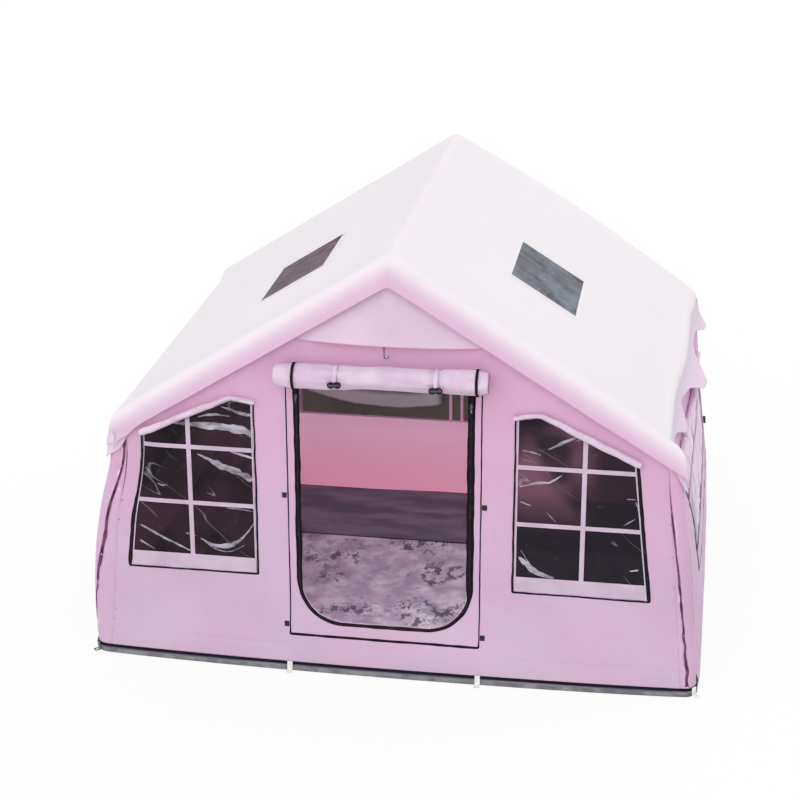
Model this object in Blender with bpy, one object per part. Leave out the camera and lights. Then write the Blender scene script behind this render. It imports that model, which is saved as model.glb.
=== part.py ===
"""House-shaped inflatable tent.

Metres, +Z up. The origin is at the middle of the base, on the ground. The door is in the front wall,
on the -Y side, and +X is to the right of someone who looks at the door.
"""
import math

import bpy
import bmesh
from mathutils import Quaternion, Vector
from mathutils.geometry import tessellate_polygon

for old in list(bpy.data.objects):
    bpy.data.objects.remove(old, do_unlink=True)

# Overall shape
base_width = 3.00
base_depth = 2.40
ridge_height = 2.15
roof_pitch_deg = 32.4
eave_setback = 0.1175
roof_setback = 0.025
fascia_drop = 0.14

# Sheets, beams and the clearance that touching pieces keep
fabric = 0.0015
film = 0.001
seat_gap = 0.0003
beam_radius = 0.058
beam_wall = 0.0015
beam_sides = 20

# Roof edge
fascia_clear = 0.006
edge_flare = 0.2
roll_steps = 4

# Derived frame lines
pitch = math.radians(roof_pitch_deg)
seat_radius = beam_radius + seat_gap
sleeve_radius = seat_radius + fabric
eave_width = base_width - 2 * eave_setback
roof_length = base_depth - 2 * roof_setback
eave_x = eave_width / 2 - seat_radius - fabric
ridge_z = ridge_height - (seat_radius + fabric) / math.cos(pitch)
eave_z = ridge_z - eave_x * math.tan(pitch)
rafter_y = roof_length / 2 - fabric - fascia_clear - beam_radius
foot_x = base_width / 2 - sleeve_radius
foot_y = base_depth / 2 - sleeve_radius
lean_x = (foot_x - eave_x) / eave_z
lean_y = (foot_y - rafter_y) / eave_z

# Colours, as linear red, green, blue, then roughness and metallic
pink = (0.66, 0.44, 0.60, 0.75, 0.0)
white = (0.90, 0.88, 0.90, 0.7, 0.0)
bladder = (0.75, 0.76, 0.78, 0.35, 0.0)
black = (0.02, 0.02, 0.022, 0.5, 0.0)
dark_floor = (0.06, 0.055, 0.065, 0.6, 0.0)
mat_grey = (0.42, 0.36, 0.44, 0.85, 0.0)
clear_dark = (0.05, 0.05, 0.055, 0.15, 0.0)
webbing = (0.8, 0.8, 0.78, 0.8, 0.0)
steel = (0.25, 0.25, 0.26, 0.35, 0.9)


def node(name, shapes, finish, smooth_deg=0.0, origin=(0.0, 0.0, 0.0)):
    """Make one object from closed shapes, each given as (points, faces), with its own material."""
    points, faces = [], []
    for shape_points, shape_faces in shapes:
        first = len(points)
        points += [Vector(p) - Vector(origin) for p in shape_points]
        faces += [[first + i for i in face] for face in shape_faces]
    mesh = bpy.data.meshes.new(name)
    mesh.from_pydata(points, [], faces)
    solid = bmesh.new()
    solid.from_mesh(mesh)
    bmesh.ops.recalc_face_normals(solid, faces=solid.faces)
    solid.to_mesh(mesh)
    solid.free()
    if smooth_deg:
        mesh.shade_smooth()
        mesh.set_sharp_from_angle(angle=math.radians(smooth_deg))
    obj = bpy.data.objects.new(name, mesh)
    obj.location = origin
    bpy.context.collection.objects.link(obj)
    look = bpy.data.materials.new(name)
    look.use_nodes = True
    shader = look.node_tree.nodes["Principled BSDF"]
    shader.inputs["Base Color"].default_value = (*finish[:3], 1.0)
    shader.inputs["Roughness"].default_value = finish[3]
    shader.inputs["Metallic"].default_value = finish[4]
    look.diffuse_color = (*finish[:3], 1.0)
    mesh.materials.append(look)
    return obj


def loft(rings, closed=False):
    """Skin equal rings of points in order; closed joins the last ring to the first instead of capping."""
    count = len(rings[0])
    points = [p for ring in rings for p in ring]
    faces = []
    spans = len(rings) if closed else len(rings) - 1
    for k in range(spans):
        here, there = k * count, (k + 1) % len(rings) * count
        for i in range(count):
            j = (i + 1) % count
            faces.append([here + i, here + j, there + j, there + i])
    if not closed:
        faces.append(list(range(count)))
        faces.append(list(range(len(points) - count, len(points))))
    return points, faces


def circle_rings(path, radii, sides, up):
    """Rings of points round a path, square to it, that keep the same side turned to the vector up."""
    rings = []
    for k, centre in enumerate(path):
        before = path[max(k - 1, 0)]
        after = path[min(k + 1, len(path) - 1)]
        along = (after - before).normalized()
        across = along.cross(up).normalized()
        normal = across.cross(along).normalized()
        ring = []
        for i in range(sides):
            turn = 2 * math.pi * i / sides
            ring.append(centre + (across * math.cos(turn) + normal * math.sin(turn)) * radii[k])
        rings.append(ring)
    return rings


def cut_ring(ring, along, plane_point, plane_normal):
    """Slide each point of a ring along the path's direction until it lies on a plane."""
    return [p + along * ((plane_point - p).dot(plane_normal) / along.dot(plane_normal)) for p in ring]


def hollow_tube(path, radius, wall, sides, up, start_plane=None):
    """Open-ended tube along a path, whose start may be cut by a plane given as (point, normal)."""
    skins = []
    for skin_radius in (radius, radius - wall):
        rings = circle_rings(path, [skin_radius] * len(path), sides, up)
        if start_plane:
            rings[0] = cut_ring(rings[0], (path[1] - path[0]).normalized(), *start_plane)
        skins.append(rings)
    return loft(skins[0] + skins[1][::-1], closed=True)


def solid_tube(path, radii, sides, up):
    """Capped tube along a path whose radius may change from point to point."""
    return loft(circle_rings(path, radii, sides, up))


def turned(profile, sides, centre, axis_map, closed=False):
    """Turn a profile of (radius, height) points about an axis; axis_map places (across, across, height)."""
    rings = []
    for radius, height in profile:
        ring = []
        for i in range(sides):
            turn = 2 * math.pi * i / sides
            ring.append(centre + axis_map(radius * math.cos(turn), radius * math.sin(turn), height))
        rings.append(ring)
    return loft(rings, closed)


def plate(outline, holes, place, near, far):
    """Extrude a flat outline with holes from near to far; place turns (u, v, w) into a point."""
    loops = [outline] + holes
    flat = [[Vector((u, v, 0.0)) for u, v in loop] for loop in loops]
    triangles = tessellate_polygon(flat)
    corners = [corner for loop in loops for corner in loop]
    count = len(corners)
    points = [place(u, v, near) for u, v in corners] + [place(u, v, far) for u, v in corners]
    faces = [list(t) for t in triangles] + [[count + i for i in reversed(t)] for t in triangles]
    first = 0
    for loop in loops:
        for i in range(len(loop)):
            j = (i + 1) % len(loop)
            faces.append([first + i, first + j, count + first + j, count + first + i])
        first += len(loop)
    return points, faces


def sheet(grid, thickness, skip=()):
    """Closed sheet from a grid of points, thickened to its front; skip lists the cells left open."""
    rows, columns = len(grid), len(grid[0])
    surface = bmesh.new()
    verts = [[surface.verts.new(p) for p in row] for row in grid]
    for r in range(rows - 1):
        for c in range(columns - 1):
            if (r, c) not in skip:
                surface.faces.new((verts[r][c], verts[r][c + 1], verts[r + 1][c + 1], verts[r + 1][c]))
    surface.normal_update()
    mesh = bpy.data.meshes.new("surface")
    surface.to_mesh(mesh)
    surface.free()
    carrier = bpy.data.objects.new("surface", mesh)
    bpy.context.collection.objects.link(carrier)
    thick = carrier.modifiers.new("thickness", "SOLIDIFY")
    thick.thickness = thickness
    thick.offset = 1.0
    thick.use_even_offset = True
    depsgraph = bpy.context.evaluated_depsgraph_get()
    result = bpy.data.meshes.new_from_object(carrier.evaluated_get(depsgraph))
    shape = ([v.co.copy() for v in result.vertices], [list(p.vertices) for p in result.polygons])
    bpy.data.objects.remove(carrier, do_unlink=True)
    return shape


def rounded(corners, radii, steps):
    """Round the corners of an open or closed flat outline; a zero radius keeps a corner sharp."""
    outline = []
    for k, corner in enumerate(corners):
        here = Vector(corner)
        before = Vector(corners[k - 1])
        after = Vector(corners[(k + 1) % len(corners)])
        if not radii[k]:
            outline.append(tuple(here))
            continue
        to_before = (before - here).normalized()
        to_after = (after - here).normalized()
        half = to_before.angle(to_after) / 2
        reach = radii[k] / math.tan(half)
        centre = here + (to_before + to_after).normalized() * radii[k] / math.sin(half)
        first = here + to_before * reach - centre
        last = here + to_after * reach - centre
        sweep = first.angle_signed(last)
        for step in range(steps + 1):
            turn = -sweep * step / steps
            cos_turn, sin_turn = math.cos(turn), math.sin(turn)
            outline.append((centre.x + first.x * cos_turn - first.y * sin_turn,
                            centre.y + first.x * sin_turn + first.y * cos_turn))
    return outline


def band(route, width):
    """Flat outline of a tape of even width along an open route of (u, v) points, mitred at its bends."""
    points = [Vector(p) for p in route]
    left, right = [], []
    for k, here in enumerate(points):
        back = (here - points[k - 1]).normalized() if k else None
        ahead = (points[k + 1] - here).normalized() if k + 1 < len(points) else None
        along = (back or ahead).lerp(ahead or back, 0.5).normalized()
        side = Vector((-along.y, along.x))
        reach = width / 2 / max(along.dot(ahead or back), 0.5)
        left.append(tuple(here + side * reach))
        right.append(tuple(here - side * reach))
    return left + right[::-1]


def clipped(polygon, point, inward):
    """Keep the part of a flat polygon on the inner side of a line."""
    kept = []
    for k, here in enumerate(polygon):
        there = polygon[(k + 1) % len(polygon)]
        depth = (Vector(here) - Vector(point)).dot(Vector(inward))
        next_depth = (Vector(there) - Vector(point)).dot(Vector(inward))
        if depth >= 0:
            kept.append(here)
        if depth * next_depth < 0:
            kept.append(tuple(Vector(here).lerp(Vector(there), depth / (depth - next_depth))))
    return kept


def inset(polygon, distance):
    """Move every side of a convex anticlockwise polygon inwards, or outwards for a negative distance."""
    lines = []
    for k, here in enumerate(polygon):
        along = (Vector(polygon[(k + 1) % len(polygon)]) - Vector(here)).normalized()
        inward = Vector((-along.y, along.x))
        lines.append((Vector(here) + inward * distance, along))
    moved = []
    for k, (point, along) in enumerate(lines):
        before_point, before_along = lines[k - 1]
        cross = before_along.x * along.y - before_along.y * along.x
        offset = point - before_point
        share = (offset.x * along.y - offset.y * along.x) / cross
        moved.append(tuple(before_point + before_along * share))
    return moved


def column_x(z):
    """Distance of a corner column's middle from the centre plane at a height."""
    return foot_x - lean_x * z


def column_y(z):
    return foot_y - lean_y * z


def under_beam_z(x):
    """Height of the line just under a gable beam."""
    return ridge_z - abs(x) * math.tan(pitch) - seat_radius / math.cos(pitch)


# Gable arches: each is one air beam up both columns, round the elbows and over the ridge
tub_floor = 0.0015
tub_height = 0.045
elbow_bend = 0.10
elbow_steps = 5
up = Vector((0.0, 0.0, 1.0))
column_foot = (Vector((0.0, 0.0, tub_floor + seat_gap)), up)


def half_arch_path(end):
    """Middle line of an arch's right half, from the ridge to the ground."""
    ridge = Vector((0.0, end * rafter_y, ridge_z))
    eave = Vector((eave_x, end * rafter_y, eave_z))
    foot = Vector((foot_x, end * foot_y, 0.0))
    to_ridge = (ridge - eave).normalized()
    to_foot = (foot - eave).normalized()
    half_bend = to_ridge.angle(to_foot) / 2
    reach = elbow_bend / math.tan(half_bend)
    middle = eave + (to_ridge + to_foot).normalized() * elbow_bend / math.sin(half_bend)
    first = eave + to_ridge * reach - middle
    swing = first.rotation_difference(eave + to_foot * reach - middle)
    path = [ridge]
    for step in range(elbow_steps + 1):
        spoke = first.copy()
        spoke.rotate(Quaternion().slerp(swing, step / elbow_steps))
        path.append(middle + spoke)
    path.append(foot)
    return path


for end_name, end in (("front", -1), ("rear", 1)):
    path = half_arch_path(end)
    skins = []
    for radius in (beam_radius, beam_radius - beam_wall):
        rings = circle_rings(path, [radius] * len(path), beam_sides, Vector((0.0, end, 0.0)))
        rings[0] = cut_ring(rings[0], (path[1] - path[0]).normalized(), path[0], Vector((1.0, 0.0, 0.0)))
        rings[-1] = cut_ring(rings[-1], (path[-1] - path[-2]).normalized(), *column_foot)
        other_half = [[Vector((-p.x, p.y, p.z)) for p in ring] for ring in rings[:0:-1]]
        skins.append(other_half + rings)
    node("arch_" + end_name, [loft(skins[0] + skins[1][::-1], closed=True)], bladder, smooth_deg=40)

# Corner sleeves: fabric round the columns, from the tub to just under the elbows
sleeve_top_gap = 0.09
sleeve_foot = (Vector((0.0, 0.0, tub_height + seat_gap)), up)
for side_name, side in (("left", -1), ("right", 1)):
    for end_name, end in (("front", -1), ("rear", 1)):
        foot = Vector((side * foot_x, end * foot_y, 0.0))
        eave = Vector((side * eave_x, end * rafter_y, eave_z))
        top = eave + (foot - eave).normalized() * sleeve_top_gap
        facing = Vector((side, 0.0, 0.0))
        sleeve = hollow_tube([foot, top], sleeve_radius, fabric, beam_sides, facing, sleeve_foot)
        node("sleeve_" + end_name + "_" + side_name, [sleeve], pink, smooth_deg=40)

# Ridge beam and eave beams, which butt against the gable beams
long_beam_end = rafter_y - beam_radius - seat_gap
for name, x, z in (("ridge_beam", 0.0, ridge_z), ("eave_beam_left", -eave_x, eave_z),
                   ("eave_beam_right", eave_x, eave_z)):
    path = [Vector((x, -long_beam_end, z)), Vector((x, long_beam_end, z))]
    node(name, [hollow_tube(path, beam_radius, beam_wall, beam_sides, up)], bladder, smooth_deg=40)

# Skylights: film panes in the two slopes, measured level from the ridge and along the depth
skylight_near = 0.46
skylight_far = 0.785
skylight_shift = 0.025
skylight_length = 0.545
skylight_y = {-1: -0.25, 1: -0.152}
skylight_recess = 0.0002

# Roof canopy: a profile across the tent, swept along its depth and rolled down over the gable beams
roll_turn = (math.pi / 2 - pitch) / roll_steps
profile_end = eave_x + seat_radius
slope_top = ridge_z + seat_radius / math.cos(pitch)


def roof_half(side):
    """Canopy's inner face on one side, from its edge up to the near end of the skylight."""
    half = [(profile_end, eave_z)]
    for step in range(roll_steps):
        turn = roll_turn * (step + 0.5)
        radius = seat_radius / math.cos(roll_turn / 2)
        half.append((eave_x + radius * math.cos(turn), eave_z + radius * math.sin(turn)))
    for end in (skylight_far, skylight_near):
        x = end + side * skylight_shift
        half.append((x, slope_top - x * math.tan(pitch)))
    return [(side * x, z) for x, z in half]


profile = roof_half(-1) + [(0.0, slope_top)] + roof_half(1)[::-1]

edge_turn = math.pi / 2 / roll_steps
edge = []
for step in range(roll_steps):
    turn = edge_turn * (step + 0.5)
    spread = 1 / math.cos(edge_turn / 2)
    edge_y = rafter_y + (beam_radius + fascia_clear) * math.sin(turn) * spread
    edge.append((edge_y, seat_radius * (1 - math.cos(turn) * spread) / math.cos(pitch)))
edge_plane = edge[-1][0]
edge.append((edge_plane + edge_flare * (fascia_drop - edge[-1][1]), fascia_drop))

skylight_ends = sorted(y + way * skylight_length / 2 for y in skylight_y.values() for way in (-1, 1))
level_ys = [-rafter_y] + skylight_ends + [rafter_y]
stations = [(-y, drop) for y, drop in edge[::-1]] + [(y, 0.0) for y in level_ys] + edge


def roof_point(x, z, y, drop):
    """Point of the canopy's inner face; a dropped point also flares outwards, most at the eaves."""
    return Vector((x * (1 + edge_flare * drop / profile_end), y, z - drop))


grid = [[roof_point(x, z, y, drop) for x, z in profile] for y, drop in stations]
skip = set()
for side, middle_y in skylight_y.items():
    for r in range(len(stations) - 1):
        for c in range(len(profile) - 1):
            mid_y = (stations[r][0] + stations[r + 1][0]) / 2
            mid_x = ((profile[c][0] + profile[c + 1][0]) / 2 - skylight_shift) * side
            if abs(mid_y - middle_y) < skylight_length / 2 and skylight_near < mid_x < skylight_far:
                skip.add((r, c))
node("roof_canopy", [sheet(grid, fabric, skip)], white, smooth_deg=50)

for name, side in (("skylight_left", -1), ("skylight_right", 1)):
    slope_gap = seat_gap * math.cos(pitch)
    ends = [x + side * skylight_shift for x in (skylight_near + slope_gap, skylight_far - slope_gap)]
    rows = []
    for way in (-1, 1):
        y = skylight_y[side] + way * (skylight_length / 2 - seat_gap)
        row = [Vector((side * x, y, slope_top + skylight_recess - x * math.tan(pitch))) for x in ends]
        rows.append(row[::side])
    node(name, [sheet(rows, film)], clear_dark)

# Side valances: hung from the canopy's edge, cut in two arches between three flared points
valance_tip_drop = 0.1798
valance_tip_z = eave_z - valance_tip_drop
valance_rise = 0.11
valance_middle_kick = 0.07
valance_corner_kick = 0.004
valance_rows = 4
valance_gap = 0.0008
valance_end_gap = 0.002
valance_arch_steps = 8


def hem_z(y):
    """Height of the valance's lower edge: an arch between the middle point and each corner point."""
    share = min(abs(y) / edge_plane, 1.0)
    return valance_tip_z + valance_rise * (1 - (2 * share - 1) ** 2)


def valance_kick(y):
    """How far the lower edge flares out at a point of the hem, fading towards the arches' tops."""
    kick = valance_middle_kick if 2 * abs(y) < edge_plane else valance_corner_kick
    return kick * abs(2 * abs(y) / edge_plane - 1) ** 3


arch_ys = [rafter_y * (step / valance_arch_steps - 1) for step in range(2 * valance_arch_steps + 1)]
rolled = [(y - valance_end_gap, drop) for y, drop in edge[:-1]]
valance_columns = [(-y, drop) for y, drop in rolled[::-1]] + [(y, 0.0) for y in arch_ys] + rolled
for name, side in (("valance_left", -1), ("valance_right", 1)):
    grid = []
    for y, edge_drop in valance_columns:
        end_flare = edge_flare if abs(y) == rolled[-1][0] else 0.0
        top_drop = edge_drop + valance_gap
        hem_drop = eave_z - hem_z(y)
        line = []
        for row in range(valance_rows + 1):
            share = row / valance_rows
            drop = top_drop + (hem_drop - top_drop) * share
            x = profile_end + edge_flare * drop + valance_kick(y) * share ** 2
            out = end_flare * (drop - edge_drop)
            line.append(Vector((side * x, y + math.copysign(out, y), eave_z - drop)))
        grid.append(line[::side])
    node(name, [sheet(grid, fabric)], white, smooth_deg=50)

# Walls: flat panels in the plane of the columns' outer sides, between the sleeves
wall_inset = 0.001
side_wall_drop = 0.038
wall_set = sleeve_radius - wall_inset
wall_foot_z = tub_height + seat_gap
wall_edge = math.sqrt(sleeve_radius ** 2 - (wall_set - fabric) ** 2) + seat_gap
side_wall_top = eave_z - side_wall_drop


def front_place(u, v, w):
    """Front wall coordinates: across, up, and out of the wall's outer face."""
    return Vector((u, -(column_y(v) + wall_set + w), v))


def rear_place(u, v, w):
    return Vector((-u, column_y(v) + wall_set + w, v))


def left_place(u, v, w):
    return Vector((-(column_x(v) + wall_set + w), -u, v))


def right_place(u, v, w):
    return Vector((column_x(v) + wall_set + w, u, v))


def gable_edge_x(z):
    """Half width of a gable wall at a height, where it meets the corner sleeves."""
    return column_x(z) - wall_edge


gable_meet_z = under_beam_z(gable_edge_x(0.0)) / (1 - lean_x * math.tan(pitch))
gable_meet_x = gable_edge_x(gable_meet_z)

# Door: a zipped rectangle with a U-shaped opening
door_x = -0.027
door_half_width = 0.467
door_foot_z = 0.187
flap_height = 0.29
flap_apex_z = under_beam_z(0.0) - seat_gap
flap_foot_z = flap_apex_z - flap_height
door_roll_drop = 0.153
door_roll_z = flap_foot_z - door_roll_drop
door_top_drop = 0.076
door_top_z = door_roll_z - door_top_drop
door_corner = 0.20
door_corner_steps = 6
door_zip_half_width = 0.4175
door_zip_foot_z = 0.255
door_zip_drop = 0.02
door_zip_width = 0.026
edge_zip_width = 0.012
tape = 0.002
door_left = door_x - door_half_width
door_right = door_x + door_half_width

# Windows: the panes are cut in the wall, which leaves the glazing bars and the deep sill
window_drop = 0.741
window_foot_z = eave_z - window_drop
window_sill = 0.078
window_near_x = 0.634
window_far_low_x = 1.267
window_far_high_x = 1.19
window_far_drop = 0.08
window_far_z = eave_z - window_far_drop
window_bend_x = 0.72
window_top_rise = 0.13
window_top_z = eave_z + window_top_rise
window_bar = 0.024
window_rim = 0.010
window_bar_x = 0.952
window_bar_shares = (0.4035, 0.7385)
window_zip_width = 0.018
film_lap = 0.012
side_window_half = 0.80
side_window_drop = 0.06
side_window_top_z = valance_tip_z - side_window_drop
side_window_bar_share = 0.68
side_window_bar_z = window_foot_z + (side_window_top_z - window_foot_z) * side_window_bar_share
side_window_bar_y = 0.40
rear_window_half = 0.95
rear_window_foot_z = 0.36
rear_window_rise = 0.01
rear_window_top_z = eave_z + rear_window_rise
rear_bar = 0.018
rear_bar_gap = 0.050

front_window = [(window_near_x, window_foot_z), (window_far_low_x, window_foot_z),
                (window_far_high_x, window_far_z), (window_bend_x, window_top_z),
                (window_near_x, window_top_z)]
side_window = [(-side_window_half, window_foot_z), (side_window_half, window_foot_z),
               (side_window_half, side_window_top_z), (-side_window_half, side_window_top_z)]
rear_window = [(-rear_window_half, rear_window_foot_z), (rear_window_half, rear_window_foot_z),
               (rear_window_half, rear_window_top_z), (-rear_window_half, rear_window_top_z)]


def mirrored(outline, side, shift):
    """Outline on the left for side -1, kept anticlockwise, and moved sideways."""
    placed = [(side * u + shift, v) for u, v in outline]
    return placed if side > 0 else placed[::-1]


def panes(outline, bars_u, bars_v):
    """Openings that the rim, sill and glazing bars leave inside an outline, as convex polygons."""
    inner = inset(outline, window_rim)
    low = min(v for u, v in outline) + window_sill
    half = window_bar / 2
    found = []
    for u_low, u_high in zip([None] + bars_u, bars_u + [None]):
        for v_low, v_high in zip([low - half] + bars_v, bars_v + [None]):
            pane = clipped(inner, (0.0, v_low + half), (0.0, 1.0))
            if u_low is not None:
                pane = clipped(pane, (u_low + half, 0.0), (1.0, 0.0))
            if u_high is not None:
                pane = clipped(pane, (u_high - half, 0.0), (-1.0, 0.0))
            if v_high is not None:
                pane = clipped(pane, (0.0, v_high - half), (0.0, -1.0))
            if len(pane) > 2:
                found.append(pane)
    return found


def add_window(name, outline, place, zip_corners):
    """Film behind the panes, and a zip tape round the outline through the corners given by number."""
    behind = -(fabric + seat_gap)
    pane = plate(inset(outline, -film_lap), [], place, behind, behind - film)
    node("window_film_" + name, [pane], clear_dark)
    ring = inset(outline, -(window_zip_width / 2 + seat_gap))
    route = band([ring[k] for k in zip_corners], window_zip_width)
    node("window_zip_" + name, [plate(route, [], place, seat_gap, seat_gap + tape)], black)


bars_v = [window_foot_z + (window_top_z - window_foot_z) * share for share in window_bar_shares]
for side_name, side in (("left", -1), ("right", 1)):
    outline = mirrored(front_window, side, door_x)
    add_window("front_" + side_name, outline, front_place, (4, 0, 1, 2) if side > 0 else (2, 3, 4, 0))
    inner_x = side * (door_half_width + seat_gap)
    panel = [(inner_x, wall_foot_z), (side * gable_edge_x(wall_foot_z) - door_x, wall_foot_z),
             (side * gable_meet_x - door_x, gable_meet_z), (inner_x, under_beam_z(inner_x + door_x))]
    panel = [(u + door_x, v) for u, v in panel][::side]
    holes = panes(outline, [side * window_bar_x + door_x], bars_v)
    node("wall_front_" + side_name, [plate(panel, holes, front_place, 0.0, -fabric)], pink)

strip_left = door_left + seat_gap
strip_right = door_right - seat_gap
header = [(strip_left, door_top_z + seat_gap), (strip_right, door_top_z + seat_gap),
          (strip_right, under_beam_z(door_right)), (0.0, under_beam_z(0.0)),
          (strip_left, under_beam_z(door_left))]
sill = [(strip_left, wall_foot_z), (strip_right, wall_foot_z),
        (strip_right, door_foot_z - seat_gap), (strip_left, door_foot_z - seat_gap)]
node("wall_front_header", [plate(header, [], front_place, 0.0, -fabric)], pink)
node("wall_front_sill", [plate(sill, [], front_place, 0.0, -fabric)], pink)

opening_half = door_zip_half_width - door_zip_width / 2
opening_foot_z = door_zip_foot_z + door_zip_width / 2
opening = rounded([(door_x + opening_half, door_top_z), (door_x + opening_half, opening_foot_z),
                   (door_x - opening_half, opening_foot_z), (door_x - opening_half, door_top_z)],
                  [0.0, door_corner, door_corner, 0.0], door_corner_steps)
surround = [(strip_left, door_top_z), (strip_left, door_foot_z), (strip_right, door_foot_z),
            (strip_right, door_top_z)] + opening
node("door_panel", [plate(surround, [], front_place, 0.0, -fabric)], pink)

# Door zips: the U zip beside the opening, and a narrow zip over the seam round the surround
zip_top_z = door_top_z - door_zip_drop
zip_corner = door_corner + door_zip_width / 2
zip_left = door_x - door_zip_half_width
zip_right = door_x + door_zip_half_width
u_route = rounded([(zip_left, zip_top_z), (zip_left, door_zip_foot_z), (zip_right, door_zip_foot_z),
                   (zip_right, zip_top_z)], [0.0, zip_corner, zip_corner, 0.0], door_corner_steps)
edge_route = [(door_left, door_top_z), (door_left, door_foot_z), (door_right, door_foot_z),
              (door_right, door_top_z)]
for name, route, width in (("door_zip", u_route, door_zip_width),
                           ("door_edge_zip", edge_route, edge_zip_width)):
    node(name, [plate(band(route, width), [], front_place, seat_gap, seat_gap + tape)], black)

# Side walls with one wide window each
for side_name, place in (("left", left_place), ("right", right_place)):
    add_window(side_name, side_window, place, (3, 0, 1, 2))
    low_y = column_y(wall_foot_z) - wall_edge
    high_y = column_y(side_wall_top) - wall_edge
    panel = [(-low_y, wall_foot_z), (low_y, wall_foot_z), (high_y, side_wall_top), (-high_y, side_wall_top)]
    holes = panes(side_window, [-side_window_bar_y, 0.0, side_window_bar_y], [side_window_bar_z])
    node("wall_" + side_name, [plate(panel, holes, place, 0.0, -fabric)], pink)

# Rear wall with two plain panes and a double bar between them
half_gap = rear_bar_gap / 2
right_pane = clipped(rear_window, (half_gap + rear_bar, 0.0), (1.0, 0.0))
left_pane = clipped(rear_window, (-half_gap - rear_bar, 0.0), (-1.0, 0.0))
middle_pane = clipped(clipped(rear_window, (half_gap, 0.0), (-1.0, 0.0)), (-half_gap, 0.0), (1.0, 0.0))
add_window("rear", rear_window, rear_place, (3, 0, 1, 2))
rear_panel = [(-gable_edge_x(wall_foot_z), wall_foot_z), (gable_edge_x(wall_foot_z), wall_foot_z),
              (gable_meet_x, gable_meet_z), (0.0, under_beam_z(0.0)), (-gable_meet_x, gable_meet_z)]
node("wall_rear", [plate(rear_panel, [left_pane, middle_pane, right_pane], rear_place, 0.0, -fabric)], pink)

# Rolled window covers, pinched where their ties hold them
roll_radius = 0.018
roll_pinch_share = 0.72
roll_lap_share = 0.2
roll_sides = 10
top_run_shares = (0.0, 0.5, 0.85)
slope_run_shares = (0.0, 0.15, 0.45, 0.75, 1.0)
side_run_shares = (-1.0, -0.6, -0.5, -0.4, 0.4, 0.5, 0.6, 1.0)


def window_roll(name, points, pinched, place):
    """Roll through (u, v) points against a wall; pinched lists the points that a tie draws in."""
    path = [place(u, v, roll_radius + seat_gap) for u, v in points]
    radii = [roll_radius * (roll_pinch_share if k in pinched else 1.0) for k in range(len(points))]
    node("window_roll_" + name, [solid_tube(path, radii, roll_sides, up)], pink, smooth_deg=60)


roll_lift = roll_radius + window_zip_width * roll_lap_share
slope = Vector((window_far_high_x - window_bend_x, window_far_z - window_top_z)).normalized()
away = Vector((-slope.y, slope.x)) * roll_lift
bend = Vector((window_bend_x, window_top_z)) + away
far = Vector((window_far_high_x, window_far_z)) + away + slope * roll_radius
start = Vector((window_near_x - roll_radius, window_top_z + roll_lift))
route = [start.lerp(bend, share) for share in top_run_shares]
route += [bend.lerp(far, share) for share in slope_run_shares]
for side_name, side in (("left", -1), ("right", 1)):
    points = [(side * p.x + door_x, p.y) for p in route]
    window_roll("front_" + side_name, points, (len(top_run_shares),), front_place)

for name, place, half, top_z in (("left", left_place, side_window_half, side_window_top_z),
                                 ("right", right_place, side_window_half, side_window_top_z),
                                 ("rear", rear_place, rear_window_half, rear_window_top_z)):
    window_roll(name, [(share * half, top_z + roll_lift) for share in side_run_shares], (2, 5), place)

# Storm door, rolled up over the doorway, with two straps round it and a toggle on each strap
door_roll_radius = 0.062
door_roll_half = 0.503
door_roll_sides = 18
door_roll_pinch_share = 0.84
door_roll_end_share = 0.93
door_roll_run_shares = (-1.0, -0.98)
tie_reach_shares = (-2.5, -0.6, 0.6, 2.5)
tie_x = 0.237
tie_width = 0.022
strap = 0.002
toggle_radius = 0.0075
toggle_half = 0.022
toggle_turn_deg = -20.0
toggle_sides = 8
toggle_run_shares = (-1.0, -0.8, 0.8, 1.0)
toggle_end_share = 0.6

tie_middles = (-tie_x - door_x, tie_x - door_x)
tie_radius = door_roll_radius * door_roll_pinch_share
roll_out = door_roll_radius + seat_gap
spots = [(share * door_roll_half, door_roll_radius) for share in door_roll_run_shares]
for middle in tie_middles:
    for share in tie_reach_shares:
        spots.append((middle + share * tie_width, tie_radius if abs(share) < 1 else door_roll_radius))
spots += [(-share * door_roll_half, door_roll_radius) for share in door_roll_run_shares[::-1]]
radii = [radius for u, radius in spots]
radii[0] = radii[-1] = door_roll_radius * door_roll_end_share
path = [front_place(door_x + u, door_roll_z, roll_out) for u, radius in spots]
node("door_roll", [solid_tube(path, radii, door_roll_sides, up)], pink, smooth_deg=50)

tie_outer = tie_radius + seat_gap + strap
toggle_turn = math.radians(toggle_turn_deg)
toggle_way = Vector((0.0, -math.cos(toggle_turn), math.sin(toggle_turn)))
toggle_ends = (toggle_end_share, 1.0, 1.0, toggle_end_share)
for side_name, middle in zip(("left", "right"), tie_middles):
    ends = [front_place(door_x + middle + way * tie_width / 2, door_roll_z, roll_out) for way in (-1, 1)]
    loop = hollow_tube(ends, tie_outer, strap, door_roll_sides, up)
    node("door_tie_" + side_name, [loop], pink, smooth_deg=50)
    spot = ends[0].lerp(ends[1], 1 / 2) + toggle_way * (tie_outer + toggle_radius + seat_gap)
    rod = [spot + Vector((share * toggle_half, 0.0, 0.0)) for share in toggle_run_shares]
    toggle = solid_tube(rod, [toggle_radius * share for share in toggle_ends], toggle_sides, up)
    node("door_toggle_" + side_name, [toggle], black, smooth_deg=50)

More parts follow.
